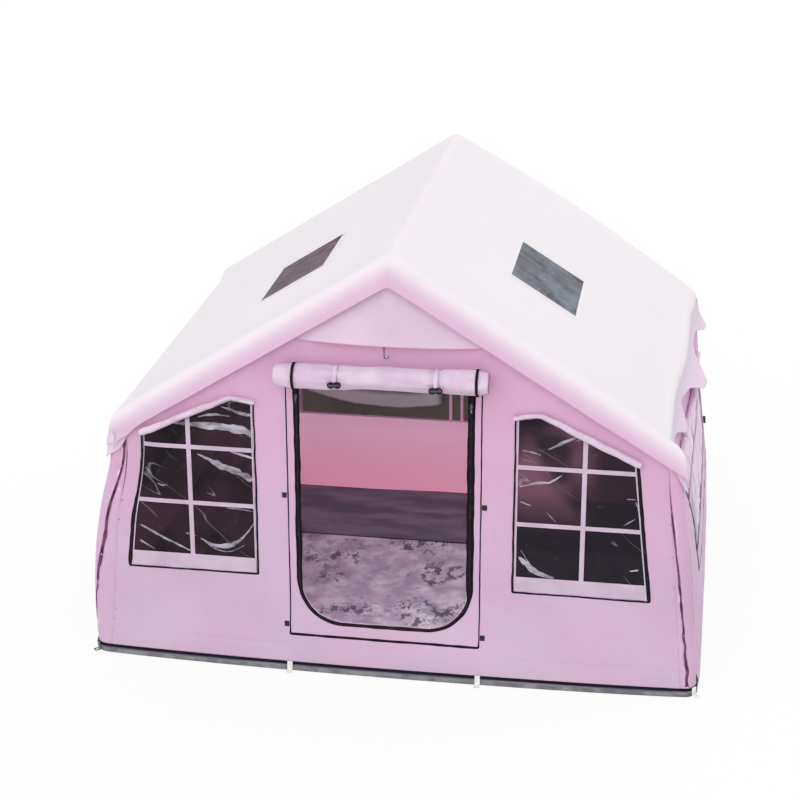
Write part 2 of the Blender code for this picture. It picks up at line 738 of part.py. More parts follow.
# Vent flaps: triangular hoods under the fascia, sewn along both slopes and bellied outwards at the hem
flap_belly = 0.042
flap_rows = 4
flap_columns = 8
flap_top_share = 0.08
for name, place in (("gable_flap_front", front_place), ("gable_flap_rear", rear_place)):
    grid = []
    for row in range(flap_rows + 1):
        share = flap_top_share + (1 - flap_top_share) * row / flap_rows
        v = flap_apex_z - (flap_apex_z - flap_foot_z) * share
        half = (flap_apex_z - v) / math.tan(pitch)
        line = []
        for c in range(flap_columns + 1):
            across = 2 * c / flap_columns - 1
            line.append(place(-across * half, v, seat_gap + flap_belly * share * (1 - across ** 2)))
        grid.append(line)
    node(name, [sheet(grid, fabric)], pink, smooth_deg=50)


# Floor tub with a low upstand, and the mat on it
base_corner_steps = 5


def base_outline(shrink):
    """Outline of the base at a distance inside its edge, rounded to the corner sleeves."""
    x = base_width / 2 - shrink
    y = base_depth / 2 - shrink
    return rounded([(x, -y), (x, y), (-x, y), (-x, -y)], [sleeve_radius - shrink] * 4, base_corner_steps)


rings = []
for shrink, z in ((0.0, 0.0), (0.0, tub_height), (fabric, tub_height), (fabric, tub_floor)):
    rings.append([Vector((x, y, z)) for x, y in base_outline(shrink)])
node("floor_tub", [loft(rings)], dark_floor, smooth_deg=40)

mat_side_clear = 0.30
mat_front_clear = 0.14
mat_length = 1.34
mat_half_width = base_width / 2 - mat_side_clear
mat_front_y = mat_front_clear - base_depth / 2
mat_rear_y = mat_front_y + mat_length
mat_thickness = 0.008
mat_corner = 0.04
mat_corner_steps = 3


def floor_place(u, v, w):
    """Floor coordinates: across, along the depth, and up from the tub's floor."""
    return Vector((u, v, tub_floor + seat_gap + w))


mat_outline = rounded([(mat_half_width, mat_front_y), (mat_half_width, mat_rear_y),
                       (-mat_half_width, mat_rear_y), (-mat_half_width, mat_front_y)],
                      [mat_corner] * 4, mat_corner_steps)
node("floor_mat", [plate(mat_outline, [], floor_place, 0.0, mat_thickness)], mat_grey)

# Base webbing: a tape round the tub's foot in four lengths, with slotted peg loops that lie out on the ground
webbing_height = 0.022
webbing_lift = 0.0005
webbing_thickness = 0.0015
webbing_wrap_deg = 60.0
webbing_end_deg = 2.0
webbing_corner_steps = 4
loop_width = 0.026
loop_reach = 0.036
loop_rise = 0.040
loop_slot_width = 0.010
loop_slot = 0.016
loop_end = 0.008
loop_thickness = 0.0018
loop_proud = 0.0003


def webbing_run(middle_deg, wrap_deg):
    """Tape along the side that faces the angle middle_deg, and round its corners by wrap_deg."""
    grid = []
    reach = (sleeve_radius + seat_gap) / math.cos(math.radians(wrap_deg) / webbing_corner_steps / 2)
    for way in (-1, 1):
        corner_turn = math.radians(middle_deg + way * 45)
        corner_x = math.copysign(foot_x, math.cos(corner_turn))
        corner = Vector((corner_x, math.copysign(foot_y, math.sin(corner_turn)), 0.0))
        for step in range(webbing_corner_steps + 1):
            share = step / webbing_corner_steps
            turn = math.radians(middle_deg + wrap_deg * (share - 1 if way < 0 else share))
            foot = corner + Vector((math.cos(turn), math.sin(turn), 0.0)) * reach
            grid.append([foot + up * webbing_height, foot + up * webbing_lift])
    return sheet(grid, webbing_thickness)


def peg_loop(point, outward):
    """Strap with a slot, down the tape and out along the ground from a point of the base's outer face."""
    across = up.cross(outward)
    root = seat_gap + loop_proud
    slot_far = loop_reach - loop_end
    route = [(root, loop_rise), (root, 0.0), (slot_far - loop_slot, 0.0), (slot_far, 0.0), (loop_reach, 0.0)]
    spread = [loop_width / 2, loop_slot_width / 2, -loop_slot_width / 2, -loop_width / 2]
    grid = [[point + outward * out + up * z + across * u for u in spread] for out, z in route]
    return sheet(grid, loop_thickness, skip={(2, 1)})


def corner_loop(side, end):
    outward = Vector((side, end, 0.0)).normalized()
    return peg_loop(Vector((side * foot_x, end * foot_y, 0.0)) + outward * sleeve_radius, outward)


side_wrap_deg = 90.0 - webbing_wrap_deg - webbing_end_deg
for name, middle_deg in (("left", 180.0), ("right", 0.0)):
    node("base_webbing_" + name, [webbing_run(middle_deg, side_wrap_deg)], webbing)
for name, middle_deg, end in (("front", -90.0, -1), ("rear", 90.0, 1)):
    outward = Vector((0.0, end, 0.0))
    loops = [peg_loop(Vector((x, end * base_depth / 2, 0.0)), outward) for x in (door_left, door_right)]
    loops += [corner_loop(side, end) for side in (-1, 1)]
    added = node("peg_loops_" + name, loops, webbing)
    added.hide_render = True
    added.display_type = "WIRE"
    tape_run = node("base_webbing_" + name, [webbing_run(middle_deg, webbing_wrap_deg)], webbing)
    join = tape_run.modifiers.new("peg_loops", "BOOLEAN")
    join.operation = "UNION"
    join.solver = "EXACT"
    join.object = added

# Inflation valve: its neck passes through the sleeve and the wall of the rear right column
valve_z = 0.48
valve_sides = 24
valve_neck_radius = 0.015
valve_bore_radius = 0.0115
valve_inside = 0.018
valve_flange_radius = 0.024
valve_flange = 0.003
valve_collar_radius = 0.0175
valve_collar = 0.014
valve_hole_clear = 0.0006
cap_clear = 0.0006
cap_wall = 0.0035
cap_top = 0.003
cap_head_room = 0.003
cap_lobes = 8
cap_lobe_sides = 5
cap_lobe_share = 0.05
plunger_clear = 0.0007
plunger_disc = 0.003
plunger_stem_radius = 0.003

valve_out = Vector((1.0, 0.0, lean_x)).normalized()
valve_side = Vector((0.0, 1.0, 0.0))
valve_up = valve_out.cross(valve_side)
valve_middle = Vector((column_x(valve_z), column_y(valve_z), valve_z))


def valve_place(a, b, height):
    """Valve coordinates: across twice, then out along the valve from the column's middle."""
    return valve_side * a + valve_up * b + valve_out * height


cutter_radius = valve_neck_radius + valve_hole_clear
cutter_profile = [(cutter_radius, sleeve_radius + way * valve_inside) for way in (-1, 1)]
cutter = node("valve_hole", [turned(cutter_profile, valve_sides, valve_middle, valve_place)], black)
cutter.hide_render = True
cutter.display_type = "WIRE"
for name in ("arch_rear", "sleeve_rear_right"):
    hole = bpy.data.objects[name].modifiers.new("valve_hole", "BOOLEAN")
    hole.operation = "DIFFERENCE"
    hole.solver = "EXACT"
    hole.object = cutter

flange_in = sleeve_radius + seat_gap
flange_out = flange_in + valve_flange
collar_out = flange_out + valve_collar
body_in = sleeve_radius - valve_inside
body_profile = [(valve_bore_radius, body_in), (valve_neck_radius, body_in), (valve_neck_radius, flange_in),
                (valve_flange_radius, flange_in), (valve_flange_radius, flange_out),
                (valve_collar_radius, flange_out), (valve_collar_radius, collar_out),
                (valve_bore_radius, collar_out)]
body = turned(body_profile, valve_sides, valve_middle, valve_place, closed=True)
node("valve_body", [body], black, smooth_deg=40)

cap_inner = valve_collar_radius + cap_clear
cap_rim = flange_out + seat_gap
cap_ceiling = collar_out + cap_head_room
cap_radius = cap_inner + cap_wall
cap_sides = cap_lobes * cap_lobe_sides
rings = []
for radius, height, lobe_share in ((cap_inner, cap_ceiling, 0.0), (cap_inner, cap_rim, 0.0),
                                   (cap_radius, cap_rim, cap_lobe_share),
                                   (cap_radius, cap_ceiling + cap_top, cap_lobe_share)):
    ring = []
    for i in range(cap_sides):
        turn = 2 * math.pi * i / cap_sides
        reach = radius * (1 + lobe_share * math.cos(cap_lobes * turn))
        ring.append(valve_middle + valve_place(reach * math.cos(turn), reach * math.sin(turn), height))
    rings.append(ring)
node("valve_cap", [loft(rings)], black, smooth_deg=40, origin=valve_middle + valve_out * flange_out)

plunger_radius = valve_bore_radius - plunger_clear
plunger_foot = sleeve_radius - valve_inside / 2
plunger_profile = [(plunger_radius, plunger_foot), (plunger_radius, plunger_foot + plunger_disc),
                   (plunger_stem_radius, plunger_foot + plunger_disc), (plunger_stem_radius, collar_out)]
plunger = turned(plunger_profile, valve_sides, valve_middle, valve_place)
node("valve_plunger", [plunger], webbing, smooth_deg=40, origin=valve_middle + valve_out * plunger_foot)

# Sliders of the door zip: a channel with two lugs, and a pull tab whose barrel turns between the lugs
slider_drop = 0.055
slider_z = door_top_z - slider_drop
slider_width = 0.014
slider_length = 0.024
slider_base = 0.003
slider_lug = 0.003
slider_lug_height = 0.006
pull_radius = 0.0022
pull_thickness = 0.0016
pull_length = 0.038
pull_arc_steps = 8

slider_in = seat_gap + tape + seat_gap
slider_top = slider_base + slider_lug_height
half = slider_width / 2
channel = [(-half, 0.0), (half, 0.0), (half, slider_top), (half - slider_lug, slider_top),
           (half - slider_lug, slider_base), (slider_lug - half, slider_base),
           (slider_lug - half, slider_top), (-half, slider_top)]
pull_w = slider_in + slider_base + slider_lug_height / 2
pull_half = half - slider_lug - seat_gap
neck_turn = math.asin(pull_thickness / 2 / pull_radius)
pull_outline = [(-pull_thickness / 2, -pull_length), (pull_thickness / 2, -pull_length)]
for step in range(pull_arc_steps + 1):
    turn = neck_turn - math.pi / 2 + 2 * (math.pi - neck_turn) * step / pull_arc_steps
    pull_outline.append((pull_radius * math.cos(turn), pull_radius * math.sin(turn)))

for side_name, side in (("left", -1), ("right", 1)):
    zip_x = door_x + side * door_zip_half_width
    pivot = front_place(zip_x, slider_z, pull_w)

    def slider_place(across, out, rise):
        return front_place(zip_x + across, slider_z + rise, slider_in + out)

    def pull_place(out, rise, across):
        return pivot + Vector((across, -out, rise))

    slider = plate(channel, [], slider_place, -slider_length / 2, slider_length / 2)
    node("zip_slider_" + side_name, [slider], steel, origin=front_place(zip_x, slider_z, slider_in))
    pull = plate(pull_outline, [], pull_place, -pull_half, pull_half)
    node("zip_pull_" + side_name, [pull], steel, smooth_deg=40, origin=pivot)

# Lamp hook: a bead under the hem of the front vent flap, with a bent wire below it
hook_x = -0.014
hook_bead = 0.005
hook_bead_steps = 5
hook_bead_from_deg = 25.0
hook_stem = 0.045
hook_radius = 0.010
hook_wire = 0.0026
hook_sides = 8
hook_arc_steps = 7
hook_arc_deg = 210.0
hem_top = front_place(hook_x, flap_foot_z, seat_gap + flap_belly + fabric / 2)
hook_pivot = hem_top - up * (seat_gap + hook_bead)
path, radii = [], []
bead_from = math.radians(hook_bead_from_deg)
bead_to = math.pi - math.asin(hook_wire / hook_bead)
for step in range(hook_bead_steps + 1):
    turn = bead_from + (bead_to - bead_from) * step / hook_bead_steps
    path.append(hook_pivot + up * hook_bead * math.cos(turn))
    radii.append(hook_bead * math.sin(turn))
bend_middle = hook_pivot - up * hook_stem + Vector((hook_radius, 0.0, 0.0))
for step in range(hook_arc_steps + 1):
    turn = math.pi + math.radians(hook_arc_deg) * step / hook_arc_steps
    path.append(bend_middle + Vector((math.cos(turn), 0.0, math.sin(turn))) * hook_radius)
    radii.append(hook_wire)
hook = solid_tube(path, radii, hook_sides, Vector((0.0, 1.0, 0.0)))
node("lamp_hook", [hook], black, smooth_deg=50, origin=hook_pivot)
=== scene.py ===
import math
from itertools import product

import bpy
import numpy as np
from mathutils import Matrix, Vector
from mathutils.geometry import delaunay_2d_cdt


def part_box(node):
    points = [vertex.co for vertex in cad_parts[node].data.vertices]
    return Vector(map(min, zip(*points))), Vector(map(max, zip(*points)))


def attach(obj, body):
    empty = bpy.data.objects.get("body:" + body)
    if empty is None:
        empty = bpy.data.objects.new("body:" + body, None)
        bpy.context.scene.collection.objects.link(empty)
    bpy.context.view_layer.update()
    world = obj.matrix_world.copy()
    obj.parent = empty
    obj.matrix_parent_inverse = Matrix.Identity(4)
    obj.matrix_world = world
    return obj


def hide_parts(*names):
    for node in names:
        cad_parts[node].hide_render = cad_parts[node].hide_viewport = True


# House-shaped inflatable tent: its sewn pieces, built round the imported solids.
# Metres, +Z up, the door towards -Y, and the origin at the middle of the base on the ground.
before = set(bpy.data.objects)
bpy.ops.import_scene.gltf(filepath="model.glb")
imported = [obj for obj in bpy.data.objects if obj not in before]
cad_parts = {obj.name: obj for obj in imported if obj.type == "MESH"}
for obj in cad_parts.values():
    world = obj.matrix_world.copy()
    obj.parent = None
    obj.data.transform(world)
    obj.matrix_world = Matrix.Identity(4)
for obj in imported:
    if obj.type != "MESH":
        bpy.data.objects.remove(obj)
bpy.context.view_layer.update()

# Camera: the photograph's place, above and to the right of the door, through a long lens.
# The angles turn it left, tip it down, and roll it by a hair.
eye = Vector((1.417, -9.27, 4.78))
yaw, tip, roll = -0.1667, 0.3855, -0.0062
ahead = Vector((math.sin(yaw) * math.cos(tip), math.cos(yaw) * math.cos(tip), -math.sin(tip)))
level = Vector((math.cos(yaw), -math.sin(yaw), 0.0))
above = level.cross(ahead)
right_hand = level * math.cos(roll) + above * math.sin(roll)
upright = above * math.cos(roll) - level * math.sin(roll)
lens = bpy.data.cameras.new("camera")
lens.lens = 85.5
lens.sensor_width = 36.0
lens.clip_end = 200.0
camera = bpy.data.objects.new("camera", lens)
camera.matrix_world = Matrix((right_hand, upright, -ahead)).transposed().to_4x4()
camera.location = eye
bpy.context.scene.collection.objects.link(camera)
bpy.context.scene.camera = camera
bpy.context.scene.view_settings.view_transform = "Standard"


class Shade:
    """One output of a shader node. Sums with it add Math nodes, and its methods add the others."""

    def __init__(self, tree, socket=None):
        self.tree = tree
        self.socket = socket

    def add(self, kind, values=None, out=0, **settings):
        """Add a node: its settings first, then the values or links of its sockets."""
        made = self.tree.nodes.new(kind)
        for name, value in settings.items():
            setattr(made, name, value)
        for key, value in (values or {}).items():
            if isinstance(value, Shade):
                self.tree.links.new(value.socket, made.inputs[key])
            elif isinstance(value, tuple) and len(value) == 3 and made.inputs[key].type == "RGBA":
                made.inputs[key].default_value = (*value, 1.0)
            else:
                made.inputs[key].default_value = value
        return Shade(self.tree, made.outputs[out] if made.outputs else None)

    def sum(self, operation, first, second):
        return self.add("ShaderNodeMath", {0: first, 1: second}, operation=operation)

    def __add__(self, other):
        return self.sum("ADD", self, other)

    def __sub__(self, other):
        return self.sum("SUBTRACT", self, other)

    def __rsub__(self, other):
        return self.sum("SUBTRACT", other, self)

    def __mul__(self, other):
        return self.sum("MULTIPLY", self, other)

    def __abs__(self):
        return self.add("ShaderNodeMath", {0: self}, operation="ABSOLUTE")

    __radd__ = __add__
    __rmul__ = __mul__

    def least(self, other):
        return self.sum("MINIMUM", self, other)

    def most(self, other):
        return self.sum("MAXIMUM", self, other)

    def rise(self, low, high):
        """0 below low and 1 above high, with a soft step between; low may be the greater of the two."""
        values = {0: self, 1: low, 2: high, 3: 0.0, 4: 1.0}
        return self.add("ShaderNodeMapRange", values, interpolation_type="SMOOTHSTEP")

    def blend(self, first, second):
        """Colour between two, by this value."""
        return self.add("ShaderNodeMix", {0: self, 6: first, 7: second}, out=2, data_type="RGBA")

    def axis(self, which):
        return self.add("ShaderNodeSeparateXYZ", {0: self}, out="XYZ".index(which))

    def scaled(self, x, y, z):
        return self.add("ShaderNodeVectorMath", {0: self, 1: (x, y, z)}, operation="MULTIPLY")

    def moved(self, other):
        return self.add("ShaderNodeVectorMath", {0: self, 1: other}, operation="ADD")

    def grain(self, size, detail=2.0, rough=0.5):
        """Noise round 0.5 at a place, with features of about this size in metres."""
        values = {"Vector": self, "Scale": 1.0 / size, "Detail": detail, "Roughness": rough}
        return self.add("ShaderNodeTexNoise", values)

    def cells(self, size, feature="F1"):
        values = {"Vector": self, "Scale": 1.0 / size}
        return self.add("ShaderNodeTexVoronoi", values, feature=feature)

    def ribs(self, size, which):
        """Even ridges across one axis, from 0 to 1, one for each size in metres."""
        turn = self.axis(which) * (math.pi / size)
        return abs(self.add("ShaderNodeMath", {0: turn}, operation="SINE"))


# Studio: an even white surround, a large soft sun in front and above, and a wide pale floor.
# Rays that see the surround straight, mirrored or through film find it plain white.
world = bpy.data.worlds.new("studio")
world.use_nodes = True
bpy.context.scene.world = world
backdrop = world.node_tree.nodes["Background"]
backdrop.inputs["Color"].default_value = (1.0, 1.0, 1.0, 1.0)
sky_level = 0.84
seen = Shade(world.node_tree)
straight = seen.add("ShaderNodeLightPath", out=0)
mirrored_ray = seen.add("ShaderNodeLightPath", out=3)
through_ray = seen.add("ShaderNodeLightPath", out=6)
strength = straight.most(mirrored_ray).most(through_ray) * (1.0 - sky_level) + sky_level
world.node_tree.links.new(strength.socket, backdrop.inputs["Strength"])


def lamp(name, from_where, power, softness):
    """Sun that shines from a direction towards the tent."""
    light = bpy.data.lights.new(name, "SUN")
    light.energy = power
    light.angle = softness
    holder = bpy.data.objects.new(name, light)
    holder.rotation_mode = "QUATERNION"
    holder.rotation_quaternion = Vector(from_where).to_track_quat("Z", "Y")
    bpy.context.scene.collection.objects.link(holder)


lamp("front_light", (-0.22, -0.66, 0.64), 1.45, 1.1)
lamp("rear_light", (0.62, 0.72, 0.36), 1.02, 1.2)


def new_object(name, points, faces, smooth=True):
    """Mesh object from arrays of points and of faces."""
    mesh = bpy.data.meshes.new(name)
    mesh.from_pydata(np.asarray(points, float).tolist(), [], [list(map(int, face)) for face in faces])
    if smooth:
        mesh.shade_smooth()
    made = bpy.data.objects.new(name, mesh)
    bpy.context.scene.collection.objects.link(made)
    return made


floor_reach = 60.0
corners = [(x * floor_reach, y * floor_reach, -0.001) for x, y in ((-1, -1), (1, -1), (1, 1), (-1, 1))]
studio_floor = new_object("studio_floor", corners, [(0, 1, 2, 3)], smooth=False)
floor_look = bpy.data.materials.new("studio_floor")
floor_look.use_nodes = True
tree = floor_look.node_tree
tree.nodes.clear()
paint = Shade(tree)
matte = paint.add("ShaderNodeBsdfDiffuse", {"Color": (0.80, 0.80, 0.80)})
glow = paint.add("ShaderNodeEmission", {"Color": (1.0, 1.0, 1.0), "Strength": 1.0})
white_share = 0.90
seen_floor = paint.add("ShaderNodeLightPath", out=0) * white_share
mixed = paint.add("ShaderNodeMixShader", {0: seen_floor, 1: matte, 2: glow})
paint.add("ShaderNodeOutputMaterial", {"Surface": mixed})
studio_floor.data.materials.append(floor_look)


# Ground sheet: a dark coated tub that stands up a little under the pink hem all round.
# It is heat-sealed from one sheet, lies slack on the ground, and has a turned edge at its top.
def noise(points, size, seed):
    """Smooth random values from -1 to 1 at an array of points, with features of about this size."""
    cell = np.asarray(points, float) / size
    base = np.floor(cell).astype(np.int64)
    part = cell - base
    part = part * part * (3 - 2 * part)
    total = np.zeros(len(cell))
    for corner in product((0, 1), repeat=3):
        at = base + corner
        code = (at[:, 0] * 73856093) ^ (at[:, 1] * 19349663) ^ (at[:, 2] * 83492791) ^ (seed * 40503)
        code = ((code ^ (code >> 13)) * 1274126177) & 0xFFFFFFFF
        value = ((code ^ (code >> 16)) & 0xFFFF) / 32767.5 - 1
        total += np.prod(np.where(corner, part, 1 - part), axis=1) * value
    return total


def unit(vectors):
    """The same vectors, each one metre long."""
    return vectors / np.linalg.norm(vectors, axis=-1, keepdims=True)


def raised(flat, third=0.0):
    """Flat points with a third number beside their two."""
    return np.column_stack([flat, np.full(len(flat), third)])


def runs_of(line):
    """How far along a line each of its points is."""
    return np.concatenate([[0], np.cumsum(np.linalg.norm(np.diff(line, axis=0), axis=1))])


def full_turn(sides):
    """Angles of the points of a ring."""
    return np.arange(sides) / sides * 2 * math.pi


def grid_faces(rows, columns, closed=False):
    """Quads between the points of a grid, stored row by row; closed joins the last column to the first."""
    across = columns if closed else columns - 1
    r, c = np.meshgrid(np.arange(rows - 1), np.arange(across), indexing="ij")
    here = r * columns + c
    beside = r * columns + (c + 1) % columns
    return np.stack([here, beside, beside + columns, here + columns], axis=-1).reshape(-1, 4)


def rounded(corner_points, radii, steps=8):
    """Outline through corner points, each rounded by an arc of its radius."""
    line = []
    count = len(corner_points)
    for k, radius in enumerate(radii):
        here = np.array(corner_points[k], float)
        before = unit(np.array(corner_points[k - 1], float) - here)
        after = unit(np.array(corner_points[(k + 1) % count], float) - here)
        if radius <= 0:
            line.append(here)
            continue
        half = math.acos(np.clip(before @ after, -1, 1)) / 2
        middle = here + unit(before + after) * radius / math.sin(half)
        first = here + before * radius / math.tan(half) - middle
        last = here + after * radius / math.tan(half) - middle
        whole = math.pi - 2 * half
        for step in range(steps + 1):
            share = step / steps
            pull = first * math.sin((1 - share) * whole) + last * math.sin(share * whole)
            line.append(middle + pull / math.sin(whole))
    return np.array(line)


def divided(line, step, closed=False):
    """The same line with every stretch cut into equal parts of about one step."""
    line = np.asarray(line, float)
    ends = np.roll(line, -1, axis=0) if closed else line[1:]
    found = []
    for a, b in zip(line, ends):
        parts = max(1, round(np.linalg.norm(b - a) / step))
        found += [a + (b - a) * k / parts for k in range(parts)]
    return np.array(found if closed else found + [line[-1]])


def inside(points, loop):
    """Which flat points lie within an outline."""
    x, y = points.T
    hit = np.zeros(len(points), bool)
    for (ax, ay), (bx, by) in zip(loop, np.roll(loop, -1, axis=0)):
        if ay != by:
            hit ^= ((ay > y) != (by > y)) & (x < ax + (y - ay) * (bx - ax) / (by - ay))
    return hit


def along(points, line):
    """Distance of each point from a line, and how far along the line its nearest point is."""
    best = np.full(len(points), 1e9)
    run = np.zeros(len(points))
    length = 0.0
    for a, b in zip(line[:-1], line[1:]):
        way = b - a
        size = np.linalg.norm(way)
        share = np.clip((points - a) @ way / size ** 2, 0, 1)
        gap = np.linalg.norm(points - a - share[:, None] * way, axis=1)
        run = np.where(gap < best, length + share * size, run)
        best = np.minimum(gap, best)
        length += size
    return best, run


def round_trip(loop):
    """Outline as a line that comes back to its first point."""
    return np.vstack([loop, loop[:1]])


def gap_from(points, loop):
    """Distance of each point from an outline."""
    return along(points, round_trip(np.asarray(loop)))[0]


def filled(outline, holes, step):
    """Flat points and triangles that fill an outline round its holes, with edges about one step long."""
    loops = [np.asarray(loop, float) for loop in (outline, *holes)]
    fine = [divided(loop, step, closed=True) for loop in loops]
    edges = []
    first = 0
    for loop in fine:
        edges += [(first + k, first + (k + 1) % len(loop)) for k in range(len(loop))]
        first += len(loop)
    low, high = loops[0].min(axis=0), loops[0].max(axis=0)
    rows = np.arange(low[1], high[1], step * math.sqrt(3) / 2)
    spots = [(u + step / 2 * (r % 2), v) for r, v in enumerate(rows) for u in np.arange(low[0], high[0], step)]
    spots = np.array(spots)
    keep = inside(spots, loops[0])
    for hole in loops[1:]:
        keep &= ~inside(spots, hole)
    spots = spots[keep]
    for loop in loops:
        spots = spots[gap_from(spots, loop) > step * 0.6]
    points = np.vstack([*fine, spots])
    made = delaunay_2d_cdt([Vector(p) for p in points], edges, [], 0, 1e-7, False)
    points = np.array([tuple(p) for p in made[0]])
    triangles = np.array(made[2])
    middles = points[triangles].mean(axis=1)
    keep = inside(middles, loops[0])
    for hole in loops[1:]:
        keep &= ~inside(middles, hole)
    return points, triangles[keep]


def area_of(loop):
    """Area within an outline."""
    x, y = np.asarray(loop, float).T
    return abs(x @ np.roll(y, -1) - y @ np.roll(x, -1)) / 2


def make_look(name, painter):
    """Material. painter gets the place on the piece, and gives the shader's values by socket name;
    height and depth make a bump, and a thin cloth lets a share of light through in its glow colour."""
    made = bpy.data.materials.new(name)
    made.use_nodes = True
    tree = made.node_tree
    tree.nodes.clear()
    start = Shade(tree)
    place = start.add("ShaderNodeTexCoord", out=3)
    values = painter(place)
    height, depth, through, glow = (values.pop(key, None) for key in ("height", "depth", "through", "glow"))
    bump = start.add("ShaderNodeBump", {"Height": height, "Distance": depth, "Strength": 1.0})
    values["Normal"] = bump
    shader = start.add("ShaderNodeBsdfPrincipled", values)
    if through:
        veil = start.add("ShaderNodeBsdfTranslucent", {"Color": glow, "Normal": bump})
        shader = start.add("ShaderNodeMixShader", {0: through, 1: shader, 2: veil})
    start.add("ShaderNodeOutputMaterial", {"Surface": shader})
    return made


# The columns' middles at the ground, and how much nearer the middle they stand for each metre up.
foot_x, foot_y = 1.4402, 1.1402
lean_x, lean_y = 0.0947761, 0.0247628


def column_x(z):
    return foot_x - lean_x * z


def column_y(z):
    return foot_y - lean_y * z


def ramp(value, low, high):
    """0 below low and 1 above high, with a soft step between."""
    share = np.clip((value - low) / (high - low), 0, 1)
    return share * share * (3 - 2 * share)


def settled(points):
    """Where the slack shell comes to rest: its front foot bows out between the corners, and the left
    columns and both side walls belly at half height. The right eave draws in between its corners, and
    so does the roof's left front corner, most of all at the fascia's end. The valve's corner stays put."""
    points = np.array(points, float).reshape(-1, 3)
    x, y, z = points.T
    foot = 0.050 * np.clip(1 - (x / 1.5) ** 2, 0, 1) ** 0.7 * np.clip(1 - z / 0.42, 0, 1) ** 1.5
    belly = np.sin(math.pi * np.clip((z + 0.05) / 1.06, 0, 1)) * ramp(abs(x) - column_x(z), -0.010, 0.055)
    right_reach = 0.036 * np.clip(1 - (y / 1.12) ** 4, 0, 1) * (1 - 0.35 * ramp(z, 0.42, 0.68))
    high = ramp(z, 0.70, 1.20) * ramp(abs(x), 1.10, 1.37)
    hem = ramp(-y, 1.165, 1.178) * ramp(-z, -1.26, -1.16)
    left_pull = (0.014 + 0.054 * hem) * ramp(-y, 0.85, 1.16)
    left_pull = left_pull + 0.022 * ramp(-y, -1.12, -0.90) * ramp(y, -1.16, -0.9)
    right_pull = (0.022 * ramp(-y, -1.02, -0.75) + 0.048 * ramp(-y, -0.30, 0.55)) * ramp(y, -1.165, -1.05)
    points[:, 0] += np.where(x < 0, high * left_pull - 0.046 * belly, right_reach * belly - high * right_pull)
    points[:, 1] -= foot * ramp(-y, 1.08, 1.17)
    points[:, 2] += 0.018 * hem * high * (x < 0)
    return points


def add_piece(name, points, faces, look, stands_for=(), body="tent", thick=0.0, smooth=True):
    """A piece of the tent in its material, riding on a body, with the solids that it stands for."""
    made = new_object(name, settled(points), faces, smooth)
    made.data.materials.append(look)
    if thick:
        shell = made.modifiers.new("thickness", "SOLIDIFY")
        shell.thickness = thick
        shell.offset = -1.0
    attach(made, body)
    if stands_for:
        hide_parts(*stands_for)
    return made


def paint_tub(at):
    drift = at.grain(0.25, 3.0)
    scuff = at.grain(0.03, 5.0, 0.7)
    ripstop = at.ribs(0.006, "X").most(at.ribs(0.006, "Y")).most(at.ribs(0.006, "Z"))
    dust = (scuff * drift).rise(0.22, 0.42)
    fold = at.scaled(0.3, 1.0, 1.0).grain(0.14, 2.0).rise(0.38, 0.62)
    room = fold.blend((0.165, 0.165, 0.215), (0.275, 0.270, 0.340))
    # rim marks the upstand's top band, painted near black: painted shadow under the pink hem, over the sheet's own
    # dark grey.
    rim = at.axis("Z").rise(0.022, 0.034)
    dusty_and_hem_shaded = (dust * 0.30 * (1 - rim)).blend(rim.blend(room, (0.006, 0.004, 0.007)), (0.18, 0.16, 0.20))
    return {"Base Color": dusty_and_hem_shaded, "Roughness": 0.62 + 0.3 * dust, "Specular IOR Level": 0.12,
            "height": ripstop * 0.3 + drift, "depth": 0.002}


tub_look = make_look("tub_fabric", paint_tub)
base_x, base_y, tub_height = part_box("floor_tub")[1]
corner_radius = 0.0598
tub_floor = 0.0018


def base_outline(shrink, steps=8):
    x, y = base_x - shrink, base_y - shrink
    corner_points = [(x, -y), (x, y), (-x, y), (-x, -y)]
    return rounded(corner_points, [corner_radius - min(shrink, 0.03)] * 4, steps)


mat_x, mat_rear, mat_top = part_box("floor_mat")[1]
mat_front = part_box("floor_mat")[0].y
floor_inset = 0.004
flat, faces = filled(base_outline(floor_inset), [], 0.022)
off_mat = np.maximum(np.abs(flat[:, 0]) - mat_x, np.maximum(flat[:, 1] - mat_rear, mat_front - flat[:, 1]))
slack = np.clip(off_mat / 0.08, 0, 1) * np.clip(gap_from(flat, base_outline(floor_inset)) / 0.05, 0, 1)
spots = raised(flat)
folds = 1 - np.abs(noise(spots * (0.35, 1.0, 1.0), 0.16, 3))
creases = 1 - np.abs(noise(spots * (1.0, 0.6, 1.0), 0.09, 5))
spots[:, 2] = tub_floor - 0.0014 + slack * (0.013 * folds ** 5 + 0.006 * creases ** 6)
ground_sheet = add_piece("ground_sheet", spots, faces, tub_look, ["floor_tub"])
area_of(base_outline(floor_inset))

# The upstand's section from the floor over its turned edge, as (how far inside the outline, height).
upstand_profile = [(0.012, 0.0004), (0.004, 0.0006), (0.0008, 0.003), (0.0, 0.010), (0.0, 0.022), (-0.0006, 0.034),
                   (-0.0008, 0.0415), (-0.0006, 0.0448), (0.0008, 0.0450), (0.0022, 0.0440), (0.0022, 0.038)]
rings = []
for shrink, z in upstand_profile:
    ring = divided(base_outline(max(shrink, 0.0)), 0.02, closed=True)
    wave = 0.0012 * noise(raised(ring, z), 0.09, 8) * min(z / 0.02, 1.0)
    outward = unit(ring / np.linalg.norm(ring / (base_x, base_y), axis=1)[:, None] / (base_x, base_y))
    rings.append(raised(ring - outward * (min(shrink, 0.0) + wave)[:, None], z))
least = min(len(ring) for ring in rings)
rings = [ring[np.linspace(0, len(ring) - 1, least).round().astype(int)] for ring in rings]
upstand = add_piece("ground_sheet_edge", np.vstack(rings), grid_faces(len(rings), least, closed=True), tub_look)
edge_length = runs_of(round_trip(base_outline(0.0)))[-1]


